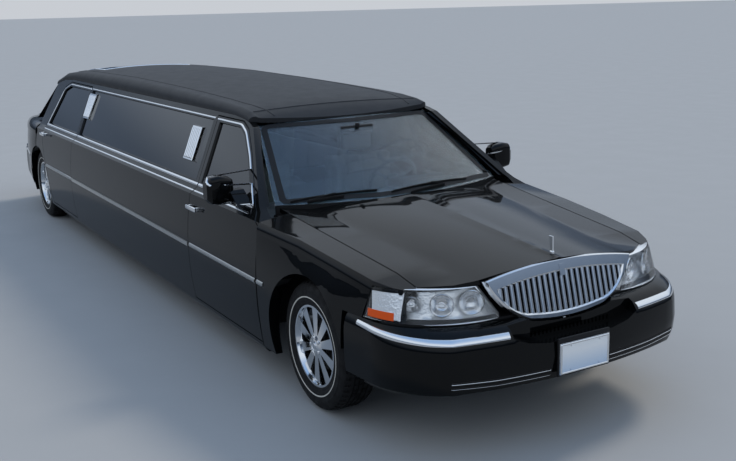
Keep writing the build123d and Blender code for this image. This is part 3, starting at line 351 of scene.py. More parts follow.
# A finish that no panel has is listed against the slot of the one that is most like it.
slot_of = {finish.name: slot for slot, finish in finish_of.items()}
for finish, slot in ((steel, "chrome_trim"), (gasket, "black_plastic"), (reflector, "lamp_lens"),
                     (projector_glass, "lamp_lens"), (white_rubber, "plate_white"), (amber, "red_lens"),
                     (carpet, "interior_trim")):
    slot_of[finish.name] = slot


def dress(name, material):
    """Gives a CAD node a finish and smooth shading over its welded facets."""
    panel = nodes[name]
    panel.data.materials.clear()
    panel.data.materials.append(material)
    for polygon in panel.data.polygons:
        polygon.use_smooth = True
    weld = panel.modifiers.new("weld", "WELD")
    weld.merge_threshold = WELD
    split = panel.modifiers.new("crisp edges", "EDGE_SPLIT")
    split.split_angle = math.radians(CREASE)


for part in frame["record"]["subparts"]:
    dress(part["node"], finish_of[part["material_slot"]])
print("dressed", len(nodes), "nodes")

# %% [markdown]
# ## Ways to make a piece
#
# Four small tools make nearly everything that follows: a box with rounded edges, a profile turned round an
# axis, a strip laid on the panels, and a twin for the other side. The strip is the coachbuilder's way:
# trim is bent over the finished body, so here rays find the body under it.

# %% Pieces, boxes and turned profiles
MERGE = 0.00002
SHARP = 35


def piece(name, mesh, material, body="root", slot=None, angle=SHARP):
    """Turns a bmesh into a finished piece that rides on a body. The slot, its finish's own if none is given,
    is worked out but not used.
    """
    slot = slot or slot_of[material.name]
    bmesh.ops.remove_doubles(mesh, verts=mesh.verts, dist=MERGE)
    bmesh.ops.recalc_face_normals(mesh, faces=mesh.faces)
    data = bpy.data.meshes.new(name)
    mesh.to_mesh(data)
    mesh.free()
    data.materials.append(material)
    data.shade_smooth()
    data.set_sharp_from_angle(angle=math.radians(angle))
    made = bpy.data.objects.new(name, data)
    bpy.context.scene.collection.objects.link(made)
    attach(made, body)
    return made


def mirrored(left, name=None):
    """Twin of a left piece on the car's other side, riding on the right-hand body where there are two."""
    twin = left.copy()
    twin.data = left.data.copy()
    twin.data.transform(Matrix.Scale(-1, 4, (0, 1, 0)))
    twin.data.flip_normals()
    twin.name = name or left.name.replace("_left", "_right")
    bpy.context.scene.collection.objects.link(twin)
    if "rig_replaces" in twin:
        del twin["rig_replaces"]
    body = left["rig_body"].replace("_left", "_right")
    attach(twin, body)
    return twin


def pulled_out(mesh, faces):
    """Extrudes faces, keeping them too, and gives the new corners, which are still in place."""
    grown = bmesh.ops.extrude_face_region(mesh, geom=faces, use_keep_orig=True)
    return [g for g in grown["geom"] if isinstance(g, bmesh.types.BMVert)]


def thicken(made, thickness):
    """Gives a piece made of open faces a wall."""
    made.modifiers.new("wall", "SOLIDIFY").thickness = thickness
    return made


def add_block(mesh, low, high, edge=0.0, segments=2):
    """Adds a box between two corners, with its edges rounded."""
    low, high = Vector(low), Vector(high)
    place_box = Matrix.Translation((low + high) / 2) @ Matrix.Diagonal((*(high - low), 1))
    made = bmesh.ops.create_cube(mesh, size=1, matrix=place_box)
    edges = {e for v in made["verts"] for e in v.link_edges}
    if edge:
        bmesh.ops.bevel(mesh, geom=list(edges), offset=edge, segments=segments, profile=0.5,
                        affect="EDGES", material=-1)


def blocks(*boxes):
    """Mesh of boxes, each given as for add_block."""
    mesh = bmesh.new()
    for box in boxes:
        add_block(mesh, *box)
    return mesh


def add_turned(mesh, profile, centre, axis, steps, shut=True):
    """Adds a profile of (distance along the axis, radius) points, turned round the axis."""
    axis = Vector(axis).normalized()
    out = axis.orthogonal().normalized()
    verts = [mesh.verts.new(Vector(centre) + axis * a + out * r) for a, r in profile]
    following = verts[1:] + verts[:1] if shut else verts[1:]
    edges = [mesh.edges.new(pair) for pair in zip(verts, following)]
    bmesh.ops.spin(mesh, geom=verts + edges, cent=centre, axis=axis, angle=2 * math.pi, steps=steps,
                   use_merge=True)
    bmesh.ops.remove_doubles(mesh, verts=mesh.verts, dist=MERGE)


def turned(profile, centre, axis, steps, shut=False):
    """Mesh of one turned profile; its ends lie on the axis unless it is shut."""
    mesh = bmesh.new()
    add_turned(mesh, profile, centre, axis, steps, shut)
    return mesh

# %% Stations and paths


def ahead(mm):
    """Station from the front axle."""
    return front_axle + mm / 1000


def behind(mm):
    """Station from the rear axle; ahead of it is positive."""
    return rear_axle + mm / 1000


def from_front(spots):
    """Path from (station from the front axle, y, z) points."""
    return [(ahead(x), y, z) for x, y, z in spots]


def both_halves(half):
    """Path across the car from its left half, which ends on the middle line."""
    return half + [(x, -y, z) for x, y, z in half[-2::-1]]


def upright(x, y_low, y_high, z_low, z_high):
    """Corners of an upright rectangle across the car."""
    return [(x, y_low, z_low), (x, y_high, z_low), (x, y_high, z_high), (x, y_low, z_high)]


print("front axle to rear axle", round(ahead(0) - behind(0), 3))

# %% Strips laid on the body
STRIP_ROWS = 5
STRIP_SHARP = 50
SINK, LEAST_PROUD = 0.0015, 0.0005
RAY_START, RAY_REACH = 0.3, 0.7
INWARD, BACKWARD, FORWARD, DOWN = (0, -1, 0), (-1, 0, 0), (1, 0, 0), (0, 0, -1)


def skin_of(*names):
    """Search tree over the faces of some panels."""
    mesh = bmesh.new()
    for name in names:
        mesh.from_mesh(nodes[name].data)
    tree = BVHTree.FromBMesh(mesh)
    mesh.free()
    return tree


def eased(corners, step, closed):
    """Path through the corners in short steps, with its corners eased."""
    corners = [Vector(c) for c in corners]
    following = corners[1:] + corners[:1] if closed else corners[1:]
    path = []
    for a, b in zip(corners, following):
        count = max(1, round((b - a).length / step))
        path += [a.lerp(b, i / count) for i in range(count)]
    if not closed:
        path.append(corners[-1])
    for turn in range(2):
        pairs = zip(path, path[1:] + path[:1]) if closed else zip(path[:-1], path[1:])
        cut = [p for a, b in pairs for p in (a.lerp(b, 0.25), a.lerp(b, 0.75))]
        path = cut if closed else [path[0]] + cut + [path[-1]]
    return path


def level_aim(tangent, spot):
    """Level direction across a path, towards the middle of the car."""
    aim = tangent.cross(Vector((0, 0, 1))).normalized()
    return aim if aim.dot(Vector((0, 0, spot.z)) - spot) > 0 else -aim


def strip(name, corners, width, proud, aim, tree, material, body="root", closed=False, step=0.08, flat=False):
    """Strip of a width laid over panels along a path, standing proud of them with a crowned face.

    aim is the direction in which it is pressed on, or None for level and square to the path."""
    path = eased(corners, step, closed)
    columns = len(path) + 1 if closed else len(path)
    mesh = bmesh.new()
    lift = mesh.verts.layers.float_vector.new("lift")
    bmesh.ops.create_grid(mesh, x_segments=columns - 1, y_segments=STRIP_ROWS - 1, size=1)
    for vert in mesh.verts:
        i = round((vert.co.x + 1) / 2 * (columns - 1)) % len(path)
        share = vert.co.y
        before = path[i - 1 if i or closed else 0]
        after = path[(i + 1) % len(path) if i + 1 < len(path) or closed else i]
        tangent = (after - before).normalized()
        way = Vector(aim).normalized() if aim else level_aim(tangent, path[i])
        spot = path[i] + tangent.cross(way).normalized() * share * width / 2
        found = tree.ray_cast(spot - way * RAY_START, way, RAY_REACH)[0] or tree.find_nearest(spot)[0]
        vert.co = found + way * SINK
        crown = 1 if flat else math.sqrt(max(0.0, 1 - share * share))
        vert[lift] = -way * (SINK + LEAST_PROUD + (proud - LEAST_PROUD) * crown)
    for vert in pulled_out(mesh, mesh.faces[:]):
        vert.co += vert[lift]
    mesh.verts.layers.float_vector.remove(lift)
    return piece(name, mesh, material, body, angle=STRIP_SHARP)


def strip_pair(name, corners, width, proud, panel, material, body="root", **more):
    """The same strip on both sides, pressed inward on a left panel. body is root or the stem of a pair."""
    body = body if body in frame["bodies"] else body + "_left"
    mirrored(strip(name + "_left", corners, width, proud, INWARD, skin_of(panel), material, body, **more))

# %% [markdown]
# ## Tyres and wheels
#
# A tyre is a moulding of revolution with its tread pattern cut in. So a profile with its four grooves is
# turned round the axle, and then every other tread face is pressed in to leave the blocks. Each piece is
# made at the origin with its outer face towards +Y, and copied to the four hubs.

# %% Put a piece on all four wheels
CORNERS = {"front_left": 1, "front_right": -1, "rear_left": 1, "rear_right": -1}
ORIGIN, AXLE = (0, 0, 0), (0, 1, 0)


def on_wheels(stem, build, material, replaced=None, knuckled=False):
    """Builds a piece for each wheel. Knuckled pieces steer with the wheel but don't turn."""
    for corner, side in CORNERS.items():
        mesh = bmesh.new()
        build(mesh)
        hub = Matrix.Translation(middle("tyre_" + corner)) @ Matrix.Diagonal((1, side, 1, 1))
        bmesh.ops.transform(mesh, matrix=hub, verts=mesh.verts)
        body = "wheel_" + corner
        if knuckled:
            body = "root" if "rear" in corner else "knuckle_" + corner.split("_")[1]
        made = piece(stem + "_" + corner, mesh, material, body)
        if replaced:
            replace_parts(made, replaced + "_" + corner)

# %% Tyres with tread, and their white line
TYRE_STEPS = 108
TYRE_HALF = [
    # out from the middle, radius, in millimetres: crown with two grooves, shoulder, wall, bead
    (10, 351), (11, 344), (17, 344), (18, 351), (38, 350.8), (39, 344), (45, 344), (46, 350.6), (60, 350),
    (77, 346), (91, 338.5), (99, 330), (105, 317), (109, 302), (110, 301), (110, 298), (109.8, 296),
    (111.5, 284), (110.4, 268), (107, 250), (103, 238), (104, 236), (103, 231), (98.5, 224), (90, 222)]
TREAD_PRESS = 0.005
CROWN_RADIUS, CROWN_HALF = 0.3495, 0.05
SHOULDER_RADIUS, SHOULDER_FROM = 0.336, 0.06


def build_tyre(mesh):
    """Tyre at the origin, turned from its profile, with tread blocks."""
    half = [(a / 1000, r / 1000) for a, r in TYRE_HALF]
    add_turned(mesh, [(-a, r) for a, r in half[::-1]] + half, ORIGIN, AXLE, TYRE_STEPS)
    bmesh.ops.recalc_face_normals(mesh, faces=mesh.faces)
    pressed = []
    for face in mesh.faces:
        spot = face.calc_center_median()
        radius = math.hypot(spot.x, spot.z)
        turn = round(math.atan2(spot.z, spot.x) / (2 * math.pi) * TYRE_STEPS - 0.5)
        on_rib = radius > CROWN_RADIUS and abs(spot.y) < CROWN_HALF
        on_shoulder = SHOULDER_RADIUS < radius < CROWN_RADIUS and SHOULDER_FROM < abs(spot.y)
        if (on_rib or on_shoulder) and turn % 2 == 0:
            pressed.append(face)
    bmesh.ops.inset_individual(mesh, faces=pressed, thickness=0.002, depth=-TREAD_PRESS)


def build_white_line(mesh):
    """Thin white line moulded into the tyre's outer wall."""
    profile = [(106.5, 262.5), (109.8, 263), (111.2, 264.5), (111.6, 268.5), (110.8, 270), (108, 270.5)]
    add_turned(mesh, [(a / 1000, r / 1000) for a, r in profile], ORIGIN, AXLE, 96)


on_wheels("tyre", build_tyre, rubber, replaced="tyre")
on_wheels("white_line", build_white_line, white_rubber)

# %% [markdown]
# The wheel behind its ten chromed spokes shows a brake: a turned disc on the hub and a caliper on the
# steering knuckle. The cap and nuts are chromed too.

# %% Caps, nuts and brakes
NUTS, NUT_CIRCLE = 5, 0.047
RIM_EDGE = 0.003


def build_cap(mesh):
    """Pressed centre cap with a raised ring."""
    profile = [(0.090, 0), (0.0985, 0), (0.0985, 0.014), (0.0965, 0.016), (0.0965, 0.021), (0.099, 0.023),
               (0.099, 0.028), (0.090, 0.031), (0.090, 0)]
    add_turned(mesh, profile, ORIGIN, AXLE, 48, shut=False)


def build_nuts(mesh):
    """Five domed wheel nuts on their circle."""
    for i in range(NUTS):
        turn = 2 * math.pi * (i + 0.5) / NUTS
        spot = (NUT_CIRCLE * math.cos(turn), 0.092, NUT_CIRCLE * math.sin(turn))
        profile = [(-0.008, 0), (-0.008, 0.010), (0.002, 0.010), (0.0045, 0.007), (0.0055, 0)]
        add_turned(mesh, profile, spot, AXLE, 6, shut=False)


def build_disc(mesh):
    """Vented brake disc: two faces with a gap between them."""
    profile = [(0.012, 0.062), (0.012, 0.150), (0.020, 0.150), (0.020, 0.140), (0.027, 0.140), (0.027, 0.150),
               (0.035, 0.150), (0.035, 0.062)]
    add_turned(mesh, profile, ORIGIN, AXLE, 64)


def build_caliper(mesh):
    """Sliding caliper over the disc's rear edge."""
    add_block(mesh, (-0.165, 0.003, -0.06), (-0.098, 0.046, 0.06), 0.008)
    add_block(mesh, (-0.150, -0.022, -0.032), (-0.105, 0.006, 0.032), 0.006)


on_wheels("wheel_cap", build_cap, chrome)
on_wheels("wheel_nuts", build_nuts, chrome)
on_wheels("brake_disc", build_disc, cast_iron)
on_wheels("brake_caliper", build_caliper, frame_paint, knuckled=True)
for corner in CORNERS:
    edges = nodes["rim_" + corner].modifiers.new("rounded edges", "BEVEL")
    edges.width = RIM_EDGE
    edges.segments = 2
    edges.limit_method = "ANGLE"
    edges.angle_limit = math.radians(40)

# %% [markdown]
# ## Bright trim
#
# A long car is kept from looking heavy by its bright lines: one under the windows, one along the doors'
# widest point, one over the windows. Each is cut where a door's edge crosses it, and each length rides on
# its own door.

# %% Heights and door edges for the trim
HOUSE_LOW, HOUSE_TALL = 0.970, 0.455
BELT_Z, WAIST_Z, MOULDING_Z = 0.984, 0.949, 0.596
SIDE_Y = 0.95


def share_z(share):
    """Height in the glasshouse: 0 at the belt, 1 at the roof rail."""
    return HOUSE_LOW + share * HOUSE_TALL


def side_line(spots):
    """Path on the left side from (station, height) pairs."""
    return [(x, SIDE_Y, z) for x, z in spots]


# Each length: name, panel it lies on, body, front end, rear end
LENGTHS = [
    ("front_door", "door_front_left", "door_front", ahead(-722), ahead(-1592)),
    ("stretch", "body_side_left", "root", ahead(-1612), behind(1388)),
    ("rear_door", "door_rear_left", "door_rear", behind(1368), behind(212)),
]
SIDE_STRIPS = [("belt_strip_", BELT_Z, 0.018, 0.005), ("waist_line_", WAIST_Z, 0.008, 0.003)]
for name, panel, body, x_front, x_rear in LENGTHS:
    for stem, z, width, proud in SIDE_STRIPS:
        strip_pair(stem + name, side_line([(x_front, z), (x_rear, z)]), width, proud, panel, chrome, body)

# %% Mouldings at the widest point
MOULDINGS = [
    ("fender", "fender_left", "root", ahead(-440), ahead(-520)),
    ("front_door", "door_front_left", "door_front", ahead(-545), ahead(-1594)),
    ("rear_door", "door_rear_left", "door_rear", behind(1366), behind(378)),
]
for name, panel, body, x_front, x_rear in MOULDINGS:
    line = side_line([(x_front, MOULDING_Z), (x_rear, MOULDING_Z)])
    strip_pair("moulding_" + name, line, 0.028, 0.007, panel, steel, body)
nodes["side_moulding"].data.materials[0] = steel

# %% Bright lines over and round the windows
DOOR_GLASS_TOP, LONG_GLASS_TOP = share_z(0.905), share_z(0.912)
WINDOW_LINES = [
    ("front_door", "door_front_left", "door_front", [
        (ahead(-733), share_z(0.05)), (ahead(-1033), share_z(0.555)), (ahead(-1226), share_z(0.822)),
        (ahead(-1340), DOOR_GLASS_TOP), (ahead(-1735), DOOR_GLASS_TOP)]),
    ("stretch", "body_side_left", "root", [(ahead(-1775), LONG_GLASS_TOP), (behind(1232), LONG_GLASS_TOP)]),
    ("rear_door", "door_rear_left", "door_rear", [
        (behind(1192), DOOR_GLASS_TOP), (behind(432), DOOR_GLASS_TOP), (behind(286), share_z(0.796)),
        (behind(226), share_z(0.06))]),
]
for name, panel, body, spots in WINDOW_LINES:
    strip_pair("window_line_" + name, side_line(spots), 0.012, 0.005, panel, chrome, body)
print("trim laid on", len(LENGTHS) + len(MOULDINGS) + len(WINDOW_LINES), "lengths a side")

# %% [markdown]
# Each side has two slanted bars over its long window, with bright ribs along them and dark grooves between.

# %% Ribs and grooves on the window bars
WINDOW_BARS = {
    # front foot, rear foot, foot height, front top, rear top, top height
    "front": (ahead(-1852), ahead(-2025), 0.292, ahead(-1919), ahead(-2091), 0.747),
    "rear": (behind(1491), behind(1310), 0.378, behind(1430), behind(1222), 0.831),
}
RIB_COUNT = 6
RIB_INSET = 0.03
RIB, GROOVE = ("rib", 0.019, 0.006, chrome), ("groove", 0.010, 0.0008, gasket)
for bar, (foot_front, foot_rear, foot, top_front, top_rear, top) in WINDOW_BARS.items():
    for i in range(2 * RIB_COUNT - 1):
        share = (i + 1) / (2 * RIB_COUNT)
        low = (foot_front + share * (foot_rear - foot_front), share_z(foot + RIB_INSET))
        high = (top_front + share * (top_rear - top_front), share_z(top - RIB_INSET))
        kind, width, proud, finish = GROOVE if i % 2 else RIB
        strip_pair("window_bar_%s_%s_%d" % (kind, bar, i), side_line([low, high]), width, proud,
                   "window_bars", finish, step=0.1, flat=kind == "groove")

# %% [markdown]
# ## Bumpers
#
# Both bumpers are moulded covers with a bright strip let into the shoulder. Low on the front one run two dark
# grooves each side of the plate, each with a bright lip under it.

# %% Bumper strips and grooves
BUMPER_LINE = [(1042, 0.405, 0.602), (984, 0.700, 0.602), (905, 0.805, 0.604), (740, 0.872, 0.612),
               (500, 0.915, 0.628)]
REAR_LINE = [(-440, 0.955), (-950, 0.89), (-1255, 0.765), (-1350, 0.585), (-1400, 0.3), (-1411, 0)]
REAR_LINE_Z = 0.603
LIP_DROP = 0.008
front_cover = skin_of("front_bumper")
mirrored(strip("bumper_strip_left", from_front(BUMPER_LINE), 0.028, 0.006, None, front_cover, chrome))
for z, z_corner in ((0.380, 0.392), (0.408, 0.418)):
    line = from_front([(1062, 0.185, z), (1040, 0.48, z), (984, 0.70, z_corner)])
    lip = [(x, y, height - LIP_DROP) for x, y, height in line]
    mm = round(z * 1000)
    mirrored(strip("bumper_groove_%d_left" % mm, line, 0.011, 0.001, None, front_cover, gasket, flat=True))
    mirrored(strip("bumper_lip_%d_left" % mm, lip, 0.004, 0.002, None, front_cover, chrome))
half_line = [(behind(x), y, REAR_LINE_Z) for x, y in REAR_LINE]
strip("rear_bumper_strip", both_halves(half_line), 0.032, 0.006, None, skin_of("rear_bumper"), chrome)

# %% [markdown]
# The plate is a blank pressed sheet in a thin bright frame, on a black plastic holder.

# %% Plate frame and holder
plate_low, plate_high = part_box("front_plate")
PLATE_FRAME, FRAME_LAP = 0.011, 0.005
edge_y, edge_low, edge_high = plate_high.y - FRAME_LAP, plate_low.z + FRAME_LAP, plate_high.z - FRAME_LAP
strip("plate_frame", upright(plate_high.x, -edge_y, edge_y, edge_low, edge_high), PLATE_FRAME, 0.004,
      BACKWARD, skin_of("front_plate"), chrome, closed=True, step=0.01)
holder = blocks(((plate_low.x + 0.002, -edge_y - 0.014, plate_low.z - 0.010),
                 (plate_high.x - 0.006, edge_y + 0.014, plate_high.z + 0.026), 0.004))
piece("plate_holder", holder, black_plastic)

# %% [markdown]
# ## Headlamps
#
# A real lamp is a clear polycarbonate lens over a tub of metallised plastic, with a bowl for each beam and
# an amber reflector at the outer corner. The panel in the frame is one solid, so its copy is opened up: its
# front faces become a thin lens, and the same faces, pushed back, become the tub.

# %% Lens and tub from the lamp's own shape
LAMP_OUT = Vector((0.72, 0.69, 0.12)).normalized()
FACING = 0.5
LENS_WALL, TUB_GAP, TUB_DEPTH, TUB_WALL = 0.003, 0.006, 0.075, 0.002


def lamp_front():
    """Copy of the left lamp, merged, keeping the faces that face outwards."""
    mesh = bmesh.new()
    mesh.from_mesh(nodes["headlamps"].data)
    bmesh.ops.remove_doubles(mesh, verts=mesh.verts, dist=0.0001)
    drop = [f for f in mesh.faces if f.calc_center_median().y < 0 or f.normal.dot(LAMP_OUT) < FACING]
    bmesh.ops.delete(mesh, geom=drop, context="FACES")
    return mesh


mesh = lamp_front()
bmesh.ops.solidify(mesh, geom=mesh.faces[:], thickness=LENS_WALL)
left_lens = piece("headlamp_lens_left", mesh, lens_glass)
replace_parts(left_lens, "headlamps")
mirrored(left_lens)
mesh = lamp_front()
bmesh.ops.translate(mesh, vec=-LAMP_OUT * TUB_GAP, verts=mesh.verts)
front = mesh.faces[:]
bmesh.ops.translate(mesh, vec=-LAMP_OUT * TUB_DEPTH, verts=pulled_out(mesh, front))
bmesh.ops.delete(mesh, geom=front, context="FACES_ONLY")
mirrored(thicken(piece("headlamp_tub_left", mesh, reflector), TUB_WALL))

# %% Bowls, projector glass and the divider
BOWLS = [
    # name, y and z of its middle, radius, way it looks, radius of its glass
    ("turn", 0.770, 0.742, 0.036, (0.78, 0.62, 0.0), 0.012),
    ("outer", 0.655, 0.738, 0.054, (0.82, 0.57, 0.0), 0.018),
    ("inner", 0.515, 0.740, 0.058, (0.88, 0.47, 0.0), 0.026),
]
BOWL_DEPTH, BOWL_LIP, BOWL_WALL, BOWL_INSIDE = 0.034, 0.004, 0.0015, 0.034
BOWL_RINGS = [i / 8 for i in range(8, 0, -1)]
lamp_skin = skin_of("headlamps")
for name, y, z, radius, way, ball in BOWLS:
    way = Vector(way).normalized()
    spot = lamp_skin.ray_cast(Vector((front_axle + 1.2, y, z)), Vector(BACKWARD))[0] - way * BOWL_INSIDE
    dish = [(BOWL_DEPTH * (share ** 2 - 0.7), radius * share) for share in BOWL_RINGS]
    lip = (dish[0][0] - BOWL_LIP, dish[0][1] + BOWL_LIP)
    bowl = piece("headlamp_bowl_%s_left" % name, turned([lip] + dish, spot, way, 40), chrome)
    mirrored(thicken(bowl, BOWL_WALL))
    bulb = [(-0.012, 0.0), (-0.012, ball), (-0.002, ball), (0.006, 0.85 * ball), (0.012, 0.5 * ball),
            (0.0145, 0.0)]
    mirrored(piece("headlamp_bulb_%s_left" % name, turned(bulb, spot, way, 32), projector_glass))
INTO_LAMP = -Vector((0.72, 0.69, 0.0))
LAMP_STRIPS = [
    # name, ends, width, how proud, finish, step, flat
    ("headlamp_corner", [(584, 0.880, 0.733), (722, 0.806, 0.733)], 0.122, 0.0003, reflector, 0.01, True),
    ("headlamp_divider", [(716, 0.812, 0.670), (728, 0.80, 0.800)], 0.012, 0.002, reflector, 0.03, False),
    ("side_marker", [(565, 0.893, 0.689), (694, 0.826, 0.686)], 0.036, 0.002, amber, 0.02, True),
]
for name, ends, width, proud, finish, step, flat in LAMP_STRIPS:
    mirrored(strip(name + "_left", from_front(ends), width, proud, INTO_LAMP, lamp_skin, finish, step=step,
                   flat=flat))

# %% [markdown]
# ## Windscreen, wipers and mirrors
#
# The glass is bonded behind a black printed border. Its wipers park at the foot: a jointed arm each, and a
# thin rubber blade.

# %% Border and wipers
screen_skin = skin_of("windscreen")
INTO_SCREEN = (-0.498, 0, -0.868)
half_border = from_front([(-655, 0.735, 1.003), (-1205, 0.592, 1.366), (-1150, 0.3, 1.378),
                          (-1128, 0, 1.381)])
half_foot = from_front([(-487, 0, 1.001), (-500, 0.2, 1.001), (-560, 0.45, 1.002)])
border = both_halves(half_border) + [(x, -y, z) for x, y, z in half_foot[::-1]] + half_foot[1:]
strip("windscreen_border", border, 0.036, 0.001, INTO_SCREEN, screen_skin, gasket, closed=True, flat=True)
WIPERS = [
    # name, pivot, joint and blade ends as (station, y, z)
    ("near", (-560, -0.40, 0.975), (-575, -0.62, 1.015), [(-628, -0.70, 1.012), (-520, -0.18, 1.040)]),
    ("far", (-475, 0.02, 0.975), (-505, 0.30, 1.020), [(-490, -0.10, 1.020), (-560, 0.50, 1.036)]),
]
for name, pivot, elbow, blade in WIPERS:
    run = from_front(blade)
    arm = from_front([pivot, elbow]) + [tuple((a + b) / 2 for a, b in zip(*run))]
    strip("wiper_blade_" + name, run, 0.010, 0.012, INTO_SCREEN, screen_skin, gasket)
    strip("wiper_arm_" + name, arm, 0.013, 0.020, INTO_SCREEN, screen_skin, black_plastic, step=0.04)

# %% Cowl slats
SLATS, SLAT_PITCH = 34, 0.034
slats = []
for i in range(SLATS):
    y = (i - (SLATS - 1) / 2) * SLAT_PITCH
    x = ahead(-505) - 0.28 * (abs(y) / 0.6) ** 2 * 0.35
    slats.append(((x - 0.028, y - 0.006, 0.9245), (x + 0.028, y + 0.006, 0.9285)))
piece("cowl_slats", blocks(*slats), black_plastic)

# %% Door mirrors' glass
mirror_x, mirror_y, mirror_z = ahead(-925), 1.032, 1.068
pane = blocks(((mirror_x - 0.0625, mirror_y - 0.052, mirror_z - 0.064),
               (mirror_x - 0.0575, mirror_y + 0.048, mirror_z + 0.064), 0.002))
mirrored(piece("mirror_glass_left", pane, chrome, "door_front_left"))

# %% [markdown]
# ## Door handles, locks and the fuel flap
#
# The pulls are chromed shells over the bars, with a rounded edge all round, and a lock under each front one.

# %% Handles and locks
HANDLES = [("front", ahead(-1508), 0.854), ("rear", behind(351), 0.905)]
for name, x, z in HANDLES:
    door = "door_%s_left" % name
    grip = blocks(((x - 0.083, 0.9835, z - 0.015), (x + 0.083, 1.0015, z + 0.015), 0.007, 3))
    mirrored(piece("door_handle_%s_left" % name, grip, chrome, door))
    for end in (-1, 1):
        foot = x + end * 0.066
        stem = blocks(((foot - 0.014, 0.930, z - 0.013), (foot + 0.014, 0.992, z + 0.013), 0.004))
        mirrored(piece("door_handle_stem_%s_%d_left" % (name, end + 1), stem, chrome, door))
BARREL = [(-0.02, 0.010), (0.0015, 0.010), (0.003, 0.008), (0.003, 0.003), (0.001, 0.002), (0.001, 0)]
lock = turned(BARREL, (ahead(-1470), 0.962, 0.815), (0, 1, 0.1), 24)
mirrored(piece("door_lock_left", lock, chrome, "door_front_left"))

# %% Fuel flap's shut line, on the left rear quarter
flap = [(behind(x), 0.9, z) for x, z in ((-700, 0.80), (-700, 0.66), (-860, 0.66), (-860, 0.80))]
strip("fuel_flap_line", flap, 0.004, 0.0006, INWARD, skin_of("body_side_left"), gasket, closed=True,
      step=0.02, flat=True)

# %% [markdown]
# ## Roof
#
# The vinyl is sewn from strips and piped along its seams, and the hatch near the back has a bright frame.

# %% Seams and hatch frame
roof_skin = skin_of("roof", "roof_hatch")
ROOF_Z = 1.5
SEAM = [(ahead(-1235), 0.50), (ahead(-1600), 0.535), (behind(300), 0.535), (behind(-85), 0.50)]
for side, sense in (("left", 1), ("right", -1)):
    seam = [(x, sense * y, ROOF_Z) for x, y in SEAM]
    strip("roof_seam_" + side, seam, 0.009, 0.0035, DOWN, roof_skin, vinyl, step=0.12)
for name, x, reach in (("front", ahead(-1330), 0.60), ("rear", behind(20), 0.58)):
    seam = [(x, -reach, ROOF_Z), (x, reach, ROOF_Z)]
    strip("roof_seam_" + name, seam, 0.009, 0.0035, DOWN, roof_skin, vinyl, step=0.05)
low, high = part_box("roof_hatch")
rim = [(low.x, low.y, ROOF_Z), (high.x, low.y, ROOF_Z), (high.x, high.y, ROOF_Z), (low.x, high.y, ROOF_Z)]
strip("roof_hatch_frame", rim, 0.022, 0.007, DOWN, roof_skin, chrome, closed=True, step=0.03)

# %% [markdown]
# ## Tail
#
# The red lenses are moulded with ribs and have a bright rim. A bright bar lies across the lid.

# %% Tail lamp surrounds, lid bar, lock and exhaust tips
tail_skin = skin_of("tail_lamps")
low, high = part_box("tail_lamps")
RIM_LAP = 0.008
TAIL_RIBS = 4
rim = upright(low.x, 0.652, 0.706, low.z + RIM_LAP, high.z - RIM_LAP)
mirrored(strip("tail_lamp_rim_left", rim, 0.010, 0.004, FORWARD, tail_skin, chrome, closed=True, step=0.015))
for i in range(TAIL_RIBS):
    height = low.z + (i + 1) / (TAIL_RIBS + 1) * (high.z - low.z)
    mirrored(strip("tail_lamp_rib_%d_left" % i, [(low.x, 0.658, height), (low.x, 0.70, height)], 0.005, 0.002,
                   FORWARD, tail_skin, red_lens, step=0.02))
lid_skin = skin_of("boot_lid")
lid_x = behind(-1400)
strip("lid_bar", [(lid_x, -0.57, 0.885), (lid_x, 0.57, 0.885)], 0.030, 0.006, FORWARD, lid_skin, chrome,
      "boot_lid", step=0.05)
strip("lid_recess_edge", upright(lid_x, -0.27, 0.27, 0.72, 0.85), 0.012, 0.003, FORWARD, lid_skin, paint,
      "boot_lid", closed=True, step=0.03)
BARREL = [(-0.01, 0.014), (0.004, 0.014), (0.006, 0.011), (0.006, 0.004), (0.003, 0.003), (0.003, 0)]
piece("lid_lock", turned(BARREL, (behind(-1392), 0, 0.792), BACKWARD, 24), chrome, "boot_lid")
TIP = [(0.0, 0.0275), (0.0, 0.031), (-0.115, 0.033), (-0.1185, 0.0315), (-0.115, 0.0295), (-0.09, 0.028)]
pipe_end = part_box("exhaust")[0].x + 0.115
for side, y in (("left", 0.30), ("right", -0.30)):
    piece("exhaust_tip_" + side, turned(TIP, (pipe_end, y, 0.200), FORWARD, 36, shut=True), chrome)

# %% [markdown]
# ## Seats
#
# A leather cushion is a foam block in a cover that is a little too small: its faces crown, its edges pull
# in, and the sewn channels sink. The cover's swelling is simulated as cloth under pressure from a block a
# little smaller than the cushion, and each point's travel is capped. The channels come after it, since the
# remeshing would lose them.

# %% Blow up a cushion
VOXEL = 0.016
FRAMES = 14
PRESSURE = 4
MOST_TRAVEL = 0.016
CHANNEL_WIDTH, CHANNEL_DEPTH = 0.014, 0.014


